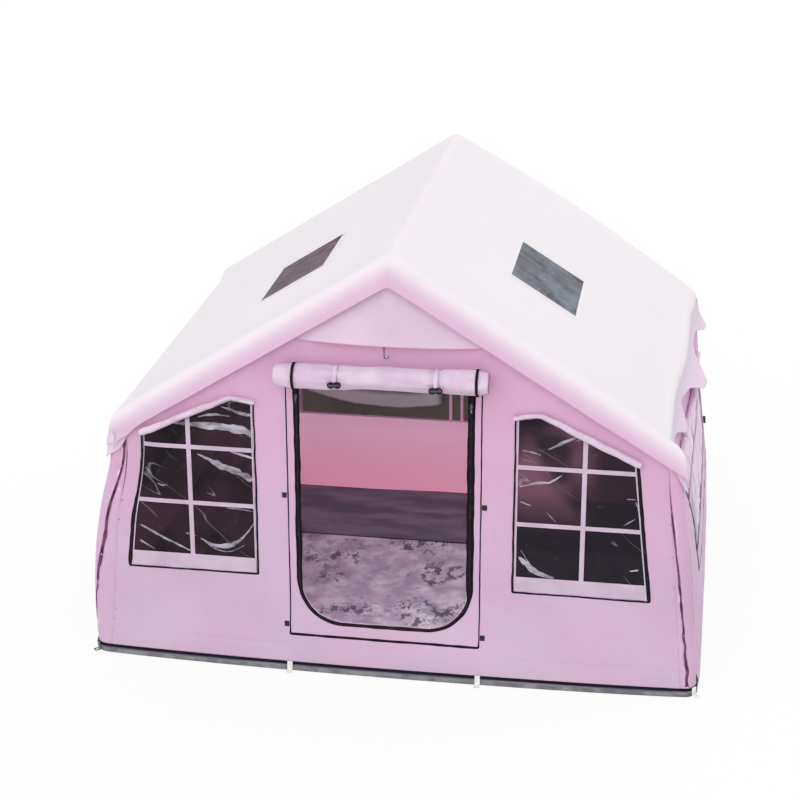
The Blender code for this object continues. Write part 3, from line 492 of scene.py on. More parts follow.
# Base webbing: a grey tape sewn round the tub's foot, with white peg loops at the door seams and
# the corners, one of them dark. Each loop is doubled strap, bar-tacked, with a slot for its peg.
def paint_tape(at):
    rib = at.ribs(0.0022, "X").least(at.ribs(0.0022, "Y"))
    soil = at.grain(0.06, 4.0)
    colour = soil.rise(0.35, 0.7).blend((0.13, 0.12, 0.13), (0.24, 0.23, 0.24))
    return {"Base Color": colour, "Roughness": 0.8, "height": rib, "depth": 0.0004}


def paint_webbing(at):
    rib = at.ribs(0.0022, "X") * at.ribs(0.0022, "Y")
    soil = at.grain(0.05, 4.0)
    colour = soil.rise(0.4, 0.75).blend((0.80, 0.79, 0.78), (0.62, 0.60, 0.58))
    return {"Base Color": colour, "Roughness": 0.75, "height": rib, "depth": 0.0004}


tape_look = make_look("base_tape", paint_tape)
webbing_look = make_look("webbing", paint_webbing)
door_x = -0.027
door_half = 0.467
door_edges = (door_x - door_half, door_x + door_half)
tape_rows = [0.0006, 0.0040, 0.0115, 0.0190, 0.0224]
tape_bulge = [0.0016, 0.0021, 0.0024, 0.0021, 0.0014]
loop_half = 0.013
slot_half = 0.005
for name, middle_deg, wrap_deg in (("front", -90, 60), ("rear", 90, 60), ("left", 180, 28), ("right", 0, 28)):
    turns = [(way, middle_deg + wrap_deg * (share - 1 if way < 0 else share)) for way in (-1, 1)
             for share in np.linspace(0, 1, 9)]
    line = []
    for way, turn in turns:
        corner_turn = math.radians(middle_deg + way * 45)
        heading = np.array([math.cos(math.radians(turn)), math.sin(math.radians(turn))])
        corner = np.array([math.copysign(foot_x, math.cos(corner_turn)),
                           math.copysign(foot_y, math.sin(corner_turn))])
        line.append(np.concatenate([corner, heading]))
    line = divided(line, 0.02)
    rows = []
    for z, bulge in zip(tape_rows, tape_bulge):
        out = corner_radius + bulge + 0.0005 * noise(raised(line[:, :2] * 3.0, z), 0.1, 12)
        rows.append(raised(line[:, :2] + unit(line[:, 2:]) * out[:, None], z))
    add_piece("base_tape_" + name, np.vstack(rows), grid_faces(len(rows), len(line)), tape_look,
              ["base_webbing_" + name], thick=0.0012)


def peg_loop(name, point, outward):
    """Strap down the tape and out along the ground, slotted near its end."""
    outward = np.array([*outward, 0.0])
    across = np.array([-outward[1], outward[0], 0.0])
    rows = []
    route = [(0.0034, 0.048), (0.0036, 0.036), (0.0038, 0.020), (0.0042, 0.008), (0.0055, 0.0034), (0.008, 0.0028),
             (0.010, 0.0026), (0.012, 0.0026), (0.017, 0.0027), (0.023, 0.0027), (0.028, 0.0026), (0.034, 0.0024),
             (0.0355, 0.0020)]
    spread = [-loop_half, -0.0115, -0.0085, -slot_half, 0.0, slot_half, 0.0085, 0.0115, loop_half]
    for out, z in route:
        rows += [point + outward * out + (0.0, 0.0, z) + across * u for u in spread]
    faces = grid_faces(len(route), len(spread))
    columns = len(spread) - 1
    slot_faces = [r * columns + c for r in (7, 8, 9) for c in (3, 4)]
    faces = np.delete(faces, slot_faces, axis=0)
    add_piece(name, rows, faces, tape_look if name.endswith("_lf") else webbing_look, thick=0.0015)


for end, side in product((-1, 1), (0, 1)):
    point = np.array([door_edges[side], end * base_y, 0.0])
    peg_loop(f"peg_loop_{'front' if end < 0 else 'rear'}_{'lr'[side]}", point, (0, end))
for x, y in product((-1, 1), repeat=2):
    outward = np.array([x, y]) / math.sqrt(2)
    point = np.array([x * foot_x, y * foot_y, 0.0]) + np.array([*outward, 0.0]) * corner_radius
    peg_loop(f"peg_loop_corner_{'l' if x < 0 else 'r'}{'f' if y < 0 else 'r'}", point, outward)


# Floor mat: a mottled lilac and grey quilted pad on the front half of the floor, bound at its edge.
# It lies on the ground sheet, slightly uneven.
def paint_mat(at):
    cloud = at.grain(0.17, 5.0, 0.62)
    blush = at.moved((2.0, 5.0, 1.0)).grain(0.12, 3.0).rise(0.48, 0.66)
    fleck = at.scaled(1.0, 0.6, 1.0).grain(0.055, 5.0, 0.66)
    speck = at.grain(0.022, 4.0, 0.66)
    patch = at.moved((4.0, 1.0, 2.0)).grain(0.26, 2.5).rise(0.44, 0.60)
    # rear thickens the dark flecks towards the back of the mat, so the mat turns darker towards the rear.
    rear = at.axis("Y").rise(0.02, 0.24) * 0.6
    pale = cloud.rise(0.36, 0.62).blend((0.50, 0.49, 0.62), (0.90, 0.92, 1.0))
    base = (blush * 0.6).blend(pale, (0.66, 0.54, 0.72))
    large = fleck.rise(0.52, 0.59) * (patch + rear).least(1.0)
    dark = (large + speck.rise(0.54, 0.62) * 0.7 * patch).least(1.0)
    edge = at.axis("Y").rise(0.252, 0.258)
    flecked = (dark * 0.85).blend(base, (0.085, 0.065, 0.11))
    pile = at.cells(0.004)
    return {"Base Color": edge.blend(flecked, (0.020, 0.013, 0.022)), "Roughness": 0.9,
            "height": pile * 0.5 + fleck, "depth": 0.003}


mat_look = make_look("mat", paint_mat)
mat_outline = rounded([(mat_x, mat_front), (mat_x, mat_rear), (-mat_x, mat_rear), (-mat_x, mat_front)], [0.04] * 4)
flat, faces = filled(mat_outline, [], 0.020)
spots = raised(flat)
rim = gap_from(flat, mat_outline)
crown = 1 - np.exp(-rim / 0.006)
spots[:, 2] = mat_top - 0.006 + 0.005 * crown + crown * 0.0012 * noise(spots, 0.12, 21)
mat = add_piece("mat_pad", spots, faces, mat_look, ["floor_mat"], thick=0.0055)


# Air beams: two arches of column, elbow and rafter, joined by a ridge beam and two eave beams.
# Each is a coated bladder in a cloth tube with one lapped seam, pumped hard.
def paint_beam(at):
    drift = at.grain(0.2, 3.0)
    weave = at.grain(0.0025, 3.0)
    colour = drift.blend((0.66, 0.45, 0.61), (0.74, 0.53, 0.69))
    return {"Base Color": colour, "Roughness": 0.6, "height": weave + drift, "depth": 0.0008}


beam_look = make_look("air_beam", paint_beam)
beam_radius = 0.058
eave_x, eave_z, ridge_z = 1.3227, 1.2397635, 2.0791744
rafter_y = 1.1095
pitch = math.radians(32.4)
beam_sides = 36


def bent(line, reach, steps=10):
    """Line with each inner corner eased by a curve that starts and ends a reach from it."""
    line = [np.asarray(p, float) for p in line]
    eased = [line[0]]
    for before, here, after in zip(line, line[1:], line[2:]):
        a, b = here + unit(before - here) * reach, here + unit(after - here) * reach
        eased += [(1 - t) ** 2 * a + 2 * t * (1 - t) * here + t ** 2 * b for t in np.linspace(0, 1, steps)]
    return np.array(eased + [line[-1]])


def directions(path):
    """The way on at each point of a path."""
    return unit(np.gradient(path, axis=0))


def tube(path, radii, up, sides):
    """Points of round rings along a path, and the quads between them; radii is one number or an array
    of rings by sides."""
    ways = directions(path)
    across = unit(np.cross(ways, up))
    normal = np.cross(across, ways)
    turns = full_turn(sides)
    radii = np.broadcast_to(radii, (len(path), sides))
    rings = (across[:, None] * np.cos(turns)[:, None] + normal[:, None] * np.sin(turns)[:, None]) * radii[..., None]
    return (path[:, None] + rings).reshape(-1, 3), grid_faces(len(path), sides, closed=True)


def domed(radii, count=5):
    """Draws the end rings of a tube in to a dome."""
    shares = np.sqrt(1 - (1 - np.linspace(0.08, 1, count)) ** 2)
    radii[:count] *= shares[:, None]
    radii[-count:] *= shares[::-1, None]
    return radii


def air_beam(name, path, up, node):
    """One beam round its path, with its seam and with fine wrinkles."""
    path = divided(path, 0.025)
    turns = full_turn(beam_sides)
    radii = np.full((len(path), beam_sides), beam_radius - 0.0006)
    seam = np.exp(-((turns - math.pi * 1.5) / 0.10) ** 2)
    ring = np.column_stack([np.cos(turns), np.sin(turns), turns]) * 0.1
    spots = np.repeat(path, beam_sides, axis=0) + np.tile(ring, (len(path), 1))
    wrinkle = noise(spots, 0.05, 31).reshape(len(path), beam_sides)
    radii += 0.0012 * seam * (1 + 0.5 * wrinkle) - 0.0005 * np.abs(wrinkle)
    points, faces = tube(path, domed(radii), up, beam_sides)
    made = add_piece(name, points, faces, beam_look, [node])


for name, end in (("front", -1), ("rear", 1)):
    half = [np.array([foot_x, end * foot_y, 0.006]), np.array([eave_x, end * rafter_y, eave_z])]
    middle = np.array([0.0, end * rafter_y, ridge_z])
    mirror = np.array([-1.0, 1.0, 1.0])
    air_beam("beam_arch_" + name, bent([*half, middle, half[1] * mirror, half[0] * mirror], 0.11), (0, 1, 0),
             "arch_" + name)
beam_end = 1.050
beam_places = (("ridge_beam", 0.0, ridge_z), ("eave_beam_left", -eave_x, eave_z), ("eave_beam_right", eave_x, eave_z))
for name, x, z in beam_places:
    air_beam("beam_" + name, np.array([[x, -beam_end, z], [x, beam_end, z]]), (0, 0, 1), name)


# Corner sleeves: pink cloth round each column, sewn to the walls from the tub's edge to the elbow.
# A stitched seam runs down the front of each, drawn in unevenly by its thread; its dark ribbon is partly the seam and
# partly painted shade in the groove.
def paint_wall(at):
    drift = at.grain(0.45, 3.0)
    slub = at.grain(0.007, 4.0, 0.6)
    weave = at.ribs(0.0016, "Z") * at.ribs(0.0016, "X").most(at.ribs(0.0016, "Y"))
    broad = at.moved((7.0, 3.0, 2.0)).grain(0.28, 2.0).rise(0.38, 0.64)
    # Painted light: the upper wall and broad patches of it are drawn pinker, for the glow of light through the cloth
    # under the fascia.
    high = (at.axis("Z").rise(0.45, 1.30) * 0.65 + broad * 0.30).least(1.0)
    clean = drift.rise(0.3, 0.7).blend((0.645, 0.505, 0.675), (0.725, 0.565, 0.740))
    glow_pinker = high.blend(clean, (0.735, 0.455, 0.650))
    colour = (slub.rise(0.45, 0.8) * 0.22).blend(glow_pinker, (0.56, 0.36, 0.53))
    return {"Base Color": colour, "Roughness": 0.66 + 0.2 * slub, "Sheen Weight": 0.10, "Specular IOR Level": 0.3,
            "height": weave * 0.25 + slub, "depth": 0.0005, "through": 0.30, "glow": (0.88, 0.42, 0.55)}


def paint_seam_and_shade(at):
    # Dark maroon: partly the seam's own colour, partly painted shade in the groove along it.
    twist = at.grain(0.003, 3.0)
    pull = at.grain(0.05, 2.0).rise(0.35, 0.65)
    shade = pull.blend((0.085, 0.022, 0.055), (0.19, 0.075, 0.14))
    return {"Base Color": (twist * 0.3).blend(shade, (0.03, 0.01, 0.02)), "Roughness": 0.85,
            "Specular IOR Level": 0.15, "height": twist, "depth": 0.0008}


def paint_skirt(at):
    """The wall's cloth, with a weak glow of its own for the daylight that comes through both layers."""
    values = paint_wall(at)
    low = at.axis("Z").rise(0.36, 0.03)
    return {**values, "Base Color": low.blend((0.74, 0.44, 0.58), (0.84, 0.46, 0.60)), "through": None, "glow": None,
            "Emission Color": low.blend((0.27, 0.165, 0.215), (0.265, 0.105, 0.15)), "Emission Strength": 1.0}


wall_look = make_look("wall_fabric", paint_wall)
skirt_look = make_look("inner_skirt", paint_skirt)
seam_shade_look = make_look("sleeve_seam_shade", paint_seam_and_shade)
sleeve_radius = corner_radius
sleeve_foot, sleeve_top = tub_height + 0.0004, eave_z - 0.045


def corner_name(side, end):
    return ("front" if end < 0 else "rear") + ("_left" if side < 0 else "_right")


for side, end in product((-1, 1), repeat=2):
    name = corner_name(side, end)
    heights = np.arange(sleeve_foot, sleeve_top, 0.009)
    path = np.column_stack([side * column_x(heights), end * column_y(heights), heights])
    sides = 73
    turns = math.pi * 1.25 + np.linspace(0, 2 * math.pi, sides)
    fall = 1 - heights / sleeve_top
    high_turn, low_turn, seam_foot = (0.0, 1.05, 0.17) if side < 0 else (-0.36, 0.42, sleeve_foot)
    cell = np.column_stack([heights, heights * 0, heights * 0])
    sway = 0.09 * noise(cell, 0.045, 44 + side) * np.clip(fall * 1.6 - 0.5, 0, 1)
    wobble = 0.10 * noise(cell, 0.21, 40 + side + 2 * end) + sway
    seam_turn = high_turn + (low_turn - high_turn) * fall + wobble
    facing = np.array([[0.0, end], [side, 0.0]])
    shape = []
    for k, z in enumerate(heights):
        off = (turns - seam_turn[k] + math.pi) % (2 * math.pi) - math.pi
        seam_cell = np.column_stack([np.full(sides, z), off * 0.02, np.full(sides, side + 2.0 * end)])
        gather = np.exp(-(np.abs(off) * sleeve_radius) / 0.018) * noise(seam_cell, 0.019, 51)
        spots = np.column_stack([np.cos(turns) * 0.06, np.sin(turns) * 0.06, np.full(sides, z)])
        broad = noise(spots * (1, 1, 0.5), 0.045, 52)
        groove = np.exp(-(off * sleeve_radius / 0.007) ** 2) * (z > seam_foot)
        r = sleeve_radius - 0.0006 + 0.0020 * gather - 0.0022 * groove + 0.0009 * broad
        heading = np.cos(turns)[:, None] * facing[0] + np.sin(turns)[:, None] * facing[1]
        shape.append(np.column_stack([path[k, :2] + heading * r[:, None], np.full(sides, z)]))
    faces = grid_faces(len(heights), sides)
    faces = faces if side * end > 0 else faces[:, ::-1]
    sleeve = add_piece("sleeve_" + name + "_cloth", np.vstack(shape), faces, wall_look,
                       ["sleeve_" + name])
    kept = heights > seam_foot
    if side < 0:
        taper = np.clip((heights[kept] - seam_foot) / 0.25, 0.15, 1)
        taper = taper * np.clip((sleeve_top - heights[kept]) / 0.35, 0.3, 1)
    else:
        taper = 0.8 + 0.7 * np.clip(1 - heights[kept] / 0.25, 0, 1)
    half_width = 0.0058 * taper * (1 + 0.35 * noise(cell[kept], 0.04, 48 + side))
    rows = []
    for share, lift in ((-1.0, 0.0010), (-0.5, -0.0008), (0.0, -0.0014), (0.5, -0.0008), (1.0, 0.0010)):
        turn = seam_turn[kept] + share * half_width / sleeve_radius
        heading = np.cos(turn)[:, None] * facing[0] + np.sin(turn)[:, None] * facing[1]
        rows.append(path[kept] + np.column_stack([heading * (sleeve_radius + lift), 0 * turn]))
    add_piece("sleeve_seam_" + name, np.vstack(rows), grid_faces(5, int(kept.sum())), seam_shade_look)


# Walls: pink polyester between the sleeves, cut out at the panes so that glazing bars and a deep sill stay.
# They are stretched by the columns, pucker along each zip and seam, and crease above the ground.
wall_set = 0.0588      # cloth's outside from the columns' middle planes
wall_foot = tub_height + 0.0003
wall_edge = 0.0174     # cloth's ends short of the columns' middles
under_ridge = 2.0601


# Each wall's place in the tent, from u across it as seen from outside, v up and w out.
def front_place(u, v, w):
    return np.column_stack([u, -(column_y(v) + wall_set + w), v])


def rear_place(u, v, w):
    return np.column_stack([-u, column_y(v) + wall_set + w, v])


def left_place(u, v, w):
    return np.column_stack([-(column_x(v) + wall_set + w), -u, v])


def right_place(u, v, w):
    return np.column_stack([column_x(v) + wall_set + w, u, v])


def facing_out(place, flat):
    """The way out of the wall at each flat point."""
    level = np.zeros(len(flat))
    return place(*flat.T, level + 1) - place(*flat.T, level)


def under_roof(x):
    """Height of the gable walls' upper edge, just under the rafters' tops, where the roof hides it."""
    return under_ridge - abs(x) * math.tan(pitch)


def puckers(flat, line, reach, pitch_length, seed):
    """Small gathers square to a seam, which fade away from it."""
    gap, run = along(flat, line)
    cell = np.column_stack([run, gap * 0.15, np.zeros(len(flat))])
    return np.exp(-gap / reach) * noise(cell, pitch_length, seed) * (1 - np.exp(-gap / 0.003))


def wall(name, node, outline, holes, place, seams, seed, step=0.0125, slack=0.0045):
    """One wall cloth, with broad slack waves, gathers along its seams and rolled pane edges."""
    flat, faces = filled(outline, holes, step)
    near_edge = gap_from(flat, outline)
    spots = raised(flat, seed * 0.37)
    out = slack * np.clip(near_edge / 0.10, 0, 1) * (noise(spots * (1.0, 0.55, 1.0), 0.27, seed)
                                                    + 0.4 * noise(spots, 0.11, seed + 1))
    for hole in holes:
        gap = gap_from(flat, hole)
        out *= np.clip(gap / 0.05, 0.25, 1)
        out -= 0.0016 * np.exp(-gap / 0.0035)
    for k, (line, depth) in enumerate(seams):
        gap = along(flat, np.asarray(line))[0]
        out *= np.clip(gap / 0.06, 0, 1)
        out += depth * puckers(flat, np.asarray(line), 0.035, 0.030, seed + 5 + k)
    if node in ("wall_left", "wall_right"):
        out += 0.0098 * np.clip((0.088 - flat[:, 1]) / 0.035, 0, 1)
    crease = flat[:, 1] - wall_foot - 0.085 - 0.006 * noise(spots * (1.0, 0.0, 1.0), 0.4, seed + 3)
    out -= 0.003 * np.exp(-(crease / 0.007) ** 2) * np.clip(near_edge / 0.02, 0, 1)
    made = add_piece(name, place(*flat.T, out - 0.0004), faces, wall_look, [node])
    size = np.ptp(np.asarray(outline), axis=0)
    cloth = area_of(outline) - sum(area_of(hole) for hole in holes)
    if cloth < 0.35 * size[0] * size[1]:
        band_length = size[0] + 2 * size[1]
        size = (cloth / band_length, band_length)


def clipped(loop, a, n):
    """The part of a convex outline on the far side of a line through a, square to n."""
    a, n = np.array(a, float), np.array(n, float)
    kept = []
    for p, q in zip(loop, np.roll(loop, -1, axis=0)):
        side_p, side_q = (p - a) @ n, (q - a) @ n
        if side_p >= 0:
            kept.append(p)
        if side_p * side_q < 0:
            kept.append(p + (q - p) * side_p / (side_p - side_q))
    return np.array(kept).reshape(-1, 2)


def grown(loop, by):
    """Convex anticlockwise outline with every side moved outwards."""
    found = []
    count = len(loop)
    for k in range(count):
        before = loop[k] - loop[k - 1]
        after = loop[(k + 1) % count] - loop[k]
        n1, n2 = unit(np.array([before[1], -before[0]])), unit(np.array([after[1], -after[0]]))
        found.append(loop[k] + (n1 + n2) * by / (1 + n1 @ n2))
    return np.array(found)


bar_half = 0.011
pane_rim = 0.006
sill_height = 0.076
window_foot = eave_z - 0.741


def panes(outline, bars_u, bars_v, sill=sill_height, half=bar_half):
    """The openings that rim, sill and bars leave in a window's outline."""
    inner = grown(outline, -pane_rim)
    low = outline[:, 1].min() + sill
    spans_u = [(a, b) for a, b in zip([None, *bars_u], [*bars_u, None])]
    spans_v = [(a, b) for a, b in zip([low - half, *bars_v], [*bars_v, None])]
    found = []
    for (u0, u1), (v0, v1) in product(spans_u, spans_v):
        pane = clipped(inner, (0, v0 + half), (0, 1))
        if u0 is not None:
            pane = clipped(pane, (u0 + half, 0), (1, 0))
        if u1 is not None:
            pane = clipped(pane, (u1 - half, 0), (-1, 0))
        if v1 is not None:
            pane = clipped(pane, (0, v1 - half), (0, -1))
        found.append(pane)
    return found


window_top = eave_z + 0.13
bars_v = [window_foot + (window_top - window_foot) * share for share in (0.4035, 0.7385)]
window_bar_x = 0.952
window_bend, window_far = np.array([0.735, window_top + 0.030]), np.array([1.1865, eave_z - 0.05])
window_near, window_outer = 0.634, 1.267
right_window = np.array([(window_near, window_foot), (window_outer, window_foot), window_far, window_bend,
                         (window_near, window_top + 0.012)])
half_side_window = 0.80
side_top = eave_z - 0.2398
side_window = np.array([(-half_side_window, window_foot), (half_side_window, window_foot),
                        (half_side_window, side_top), (-half_side_window, side_top)])
rear_foot, rear_top, half_rear_window = 0.36, eave_z + 0.01, 0.95
rear_window = np.array([(-half_rear_window, rear_foot), (half_rear_window, rear_foot), (half_rear_window, rear_top),
                        (-half_rear_window, rear_top)])
windows = {}
door_foot, door_top = 0.187, 1.4908


def paint_frame(at):
    slub = at.grain(0.007, 4.0, 0.6)
    drift = at.grain(0.12, 3.0)
    colour = drift.rise(0.3, 0.7).blend((0.60, 0.46, 0.59), (0.68, 0.54, 0.67))
    return {"Base Color": colour, "Roughness": 0.62 + 0.2 * slub, "Specular IOR Level": 0.3,
            "height": slub, "depth": 0.0004, "through": 0.22, "glow": (0.90, 0.60, 0.72)}


frame_look = make_look("window_frame", paint_frame)


def window_frame(name, outline, holes, place):
    """Lighter cloth of rim, sill and glazing bars, sewn over the window's opening."""
    flat, faces = filled(outline, holes, 0.0125)
    gap = np.min([gap_from(flat, hole) for hole in holes], axis=0)
    slack = 0.0016 * noise(raised(flat, 0.7), 0.09, 58) * np.clip(gap / 0.02, 0.3, 1)
    out = 0.0009 + 0.0010 * (1 - np.exp(-gap / 0.004)) + slack
    grid = add_piece("window_frame_" + name, place(*flat.T, out), faces, frame_look)
    cloth = area_of(outline) - sum(area_of(hole) for hole in holes)
    width, height = np.ptp(outline, axis=0)
    band_length = 2 * width + 3 * height
    cloth / band_length
    "wall_" + name


for name, side in (("left", -1), ("right", 1)):
    outline = right_window * (side, 1) + (door_x, 0)
    outline = outline if side > 0 else outline[::-1]
    windows["front_" + name] = (outline, front_place)
    inner = door_x + side * door_half
    edge = [(inner, wall_foot), (side * (column_x(wall_foot) - wall_edge), wall_foot),
            (side * (column_x(eave_z) - wall_edge), under_roof(eave_x)), (inner, under_roof(inner))][::side]
    window_frame("front_" + name, outline, panes(outline, [side * window_bar_x + door_x], bars_v), front_place)
    seams = [(round_trip(grown(outline, 0.009)), 0.0022), ([(inner, wall_foot), (inner, 2.0)], 0.0022),
             ([edge[1 if side > 0 else 2], edge[2 if side > 0 else 1]], 0.0025)]
    wall("wall_front_" + name + "_cloth", "wall_front_" + name, edge, [outline], front_place, seams, 60 + side)

left_edge, right_edge = door_edges
header = [(left_edge, door_top), (right_edge, door_top), (right_edge, under_roof(right_edge)), (0.0, under_roof(0.0)),
          (left_edge, under_roof(left_edge))]
wall("wall_header_cloth", "wall_front_header", header, [], front_place,
     [([(left_edge, door_top), (right_edge, door_top)], 0.002)], 71)
foot_panel = [(left_edge, wall_foot), (right_edge, wall_foot), (right_edge, door_foot), (left_edge, door_foot)]
wall("wall_sill_cloth", "wall_front_sill", foot_panel, [], front_place,
     [([(left_edge, door_foot), (right_edge, door_foot)], 0.002)], 73, slack=0.002)

zip_half, zip_foot, door_zip_width = 0.4175, 0.255, 0.026
door_corner = 0.20
opening_half, opening_foot = zip_half - door_zip_width / 2, zip_foot + door_zip_width / 2
opening = rounded([(door_x + opening_half, door_top), (door_x + opening_half, opening_foot),
                   (door_x - opening_half, opening_foot), (door_x - opening_half, door_top)],
                  [0.0, door_corner, door_corner, 0.0], 12)
edge_zip_route = np.array([(left_edge, door_top), (left_edge, door_foot), (right_edge, door_foot),
                           (right_edge, door_top)])
surround = np.vstack([edge_zip_route, opening])
zip_top = door_top - 0.002
zip_corner = door_corner + door_zip_width / 2
door_zip_route = rounded([(door_x - zip_half, zip_top), (door_x - zip_half, zip_foot), (door_x + zip_half, zip_foot),
                          (door_x + zip_half, zip_top)], [0.0, zip_corner, zip_corner, 0.0], 14)
wall("door_panel_cloth", "door_panel", surround, [], front_place,
     [(door_zip_route, 0.0012), (edge_zip_route, 0.0012)], 77, slack=0.0015)

for name, place in (("left", left_place), ("right", right_place)):
    windows[name] = (side_window, place)
    low_y, top = column_y(wall_foot) - wall_edge, eave_z + 0.01
    high_y = column_y(top) - wall_edge
    edge = [(-low_y, 0.003), (low_y, 0.003), (high_y, top), (-high_y, top)]
    bar_v = window_foot + (side_top - window_foot) * 0.68
    seams = [(round_trip(grown(side_window, 0.009)), 0.0022), (edge[1:3], 0.0025), ([edge[3], edge[0]], 0.0025)]
    window_frame(name, side_window, panes(side_window, [-0.40, 0.0, 0.40], [bar_v]), place)
    wall("wall_" + name + "_cloth", "wall_" + name, edge, [side_window], place, seams, 81 if name == "left" else 85,
         step=0.015)

windows["rear"] = (rear_window, rear_place)
rear_inner = grown(rear_window, -pane_rim)
half_gap, rear_bar = 0.025, 0.018
middle_pane = clipped(clipped(rear_inner, (half_gap, 0), (-1, 0)), (-half_gap, 0), (1, 0))
holes = [clipped(rear_inner, (-half_gap - rear_bar, 0), (-1, 0)), middle_pane,
         clipped(rear_inner, (half_gap + rear_bar, 0), (1, 0))]
low_x, high_x = column_x(wall_foot) - wall_edge, column_x(eave_z) - wall_edge
edge = [(-low_x, wall_foot), (low_x, wall_foot), (high_x, under_roof(eave_x)), (0.0, under_roof(0.0)),
        (-high_x, under_roof(eave_x))]
seams = [(round_trip(grown(rear_window, 0.009)), 0.0022), (edge[1:3], 0.0025), ([edge[4], edge[0]], 0.0025)]
wall("wall_rear_cloth", "wall_rear", edge, holes, rear_place, seams, 91, step=0.015)


# Inner skirt: a wide strip of the wall's cloth, sewn on inside under the rear window. It hangs along the
# wall, and then slopes forward on to the ground sheet to keep draughts out. The door shows its front
# edge as the line between pink and dark.
skirt_front, skirt_back, skirt_half = 0.895, 1.172, 1.34
skirt_foot, skirt_fold, skirt_top_z = 0.020, 0.30, 0.362
fold_share = 0.8
u, run = np.meshgrid(np.linspace(-skirt_half, skirt_half, 150), np.linspace(0, 1, 26), indexing="ij")
ripple = noise(np.stack([u, run * 0.3, 0 * u], -1).reshape(-1, 3), 0.13, 98).reshape(u.shape)
front_edge = skirt_front + 0.012 * noise(np.stack([u, 0 * u, 0 * u], -1).reshape(-1, 3), 0.5, 99).reshape(u.shape)
slope = np.clip(run / fold_share, 0, 1)
upright_part = np.clip((run - fold_share) / (1 - fold_share), 0, 1)
y = front_edge + (skirt_back - front_edge) * slope - 0.010 * (1 + ripple) * np.sin(slope * math.pi)
z = skirt_foot + (skirt_fold - skirt_foot) * slope + (skirt_top_z - skirt_fold) * upright_part
inner_skirt = add_piece("inner_skirt_rear", np.stack([u, y, z], -1).reshape(-1, 3), grid_faces(*u.shape), skirt_look)


# Window films: soft clear vinyl sewn behind the panes, painted near black as painted shade for the dark room behind
# it.
# It was packed folded, so long creases cross it at a slant, painted pale as reflections of the sky, and its slack has
# painted shine in soft bands.
def crease_lines(at, turn, spread, length, width):
    """Long lines that run at an angle from level, as noise stretched along them; width is theirs."""
    run = at.axis("X") + at.axis("Y")
    rise = at.axis("Z")
    down = (rise * math.cos(turn) - run * math.sin(turn)) * (1 / spread)
    ahead = (run * math.cos(turn) + rise * math.sin(turn)) * (1 / length)
    cell = at.add("ShaderNodeCombineXYZ", {0: down, 1: ahead, 2: turn * 3.0})
    wave = at.add("ShaderNodeTexNoise", {"Vector": cell, "Scale": 1.0, "Detail": 1.5, "Roughness": 0.4})
    return abs(wave - 0.5).rise(width, 0.0)


def paint_film(dark, room_colour, light, veil, room_glimpse=lambda at: 1.0, pale=lambda at: 0.0):
    """Painter of a film in painted light and shade: dark for the dim room, a second colour where a glimpse of the lit
    room is painted, and light for painted reflections along its creases; veil is how much of what lies behind it
    hides. The first function says where the room's glimpse is painted, and pale where a painted reflection of the sky
    lies."""
    def painter(at):
        # glimpse paints the lit room seen through the film, and shine paints reflections of the sky: the creases,
        # small patches and the pale regions.
        glimpse = at.grain(0.30, 2.0).rise(0.32, 0.60) * room_glimpse(at)
        patch = at.moved((3.1, 1.7, 0.4)).grain(0.21, 2.0).rise(0.50, 0.60)
        hair = crease_lines(at, -0.62, 0.12, 0.60, 0.011) * patch
        haze = at.grain(0.05, 4.0).rise(0.60, 0.85) * 0.05
        shine = (hair * 0.30 + haze + pale(at)).least(1.0)
        return {"Base Color": shine.blend(glimpse.blend(dark, room_colour), light), "Roughness": 0.2 + 0.3 * shine,
                "Specular IOR Level": 0.08, "Alpha": (veil + shine * 0.5).least(1.0),
                "height": hair + glimpse * 0.5, "depth": 0.003}
    return painter


# Masks of painted light on the films: upper_left places the glimpse of the lit room, while rearward and skyward place
# painted reflections of the sky.
def upper_left(at):
    return at.axis("Z").rise(0.78, 1.12) * at.axis("X").rise(1.02, 0.84)


def rearward(at):
    cloudy = at.scaled(1.0, 1.0, 0.35).grain(0.10, 3.0) * 0.5
    return (at.axis("Y").rise(-0.86, -0.42) * (cloudy + 0.72)).least(1.0)


def skyward(at):
    off = at.axis("X") + 0.40
    line = at.axis("Z") - off * off * 0.32 - at.grain(0.25, 2.0) * 0.03
    return line.rise(0.404, 0.424) * at.axis("X").rise(-0.07, -0.13) * line.rise(0.53, 0.48) * 0.92


film_painters = {
    "front_left": paint_film((0.0075, 0.006, 0.0075), (0.026, 0.013, 0.020), (0.45, 0.42, 0.50), 0.975),
    "front_right": paint_film((0.013, 0.010, 0.015), (0.150, 0.065, 0.100), (0.45, 0.42, 0.50), 0.975, upper_left),
    "side_left": paint_film((0.02, 0.015, 0.022), (0.06, 0.04, 0.06), (0.5, 0.46, 0.54), 0.93),
    "side_right": paint_film((0.05, 0.035, 0.052), (0.11, 0.08, 0.11), (0.66, 0.56, 0.68), 0.95, pale=rearward),
    "rear": paint_film((0.055, 0.055, 0.036), (0.105, 0.100, 0.068), (0.70, 0.84, 0.78), 0.97, pale=skyward)}
film_looks = {name.replace("side_", ""): make_look("film_" + name, painter)
              for name, painter in film_painters.items()}
film_lap = 0.012       # film behind its window's rim
bar_slots = [np.array([(u - 0.007, rear_foot - 0.002), (u + 0.007, rear_foot - 0.002), (u + 0.007, rear_top - 0.004),
                       (u - 0.007, rear_top - 0.004)]) for u in (-half_gap - rear_bar / 2, half_gap + rear_bar / 2)]


def crumpled(flat, seed):
    """Sharp low ridges, as in vinyl that was folded and packed."""
    spots = raised(flat, seed * 1.3)
    bends = noise(spots, 0.13, seed) + 0.5 * noise(spots * (1.0, 1.6, 1.0), 0.06, seed + 1)
    return np.abs(bends)


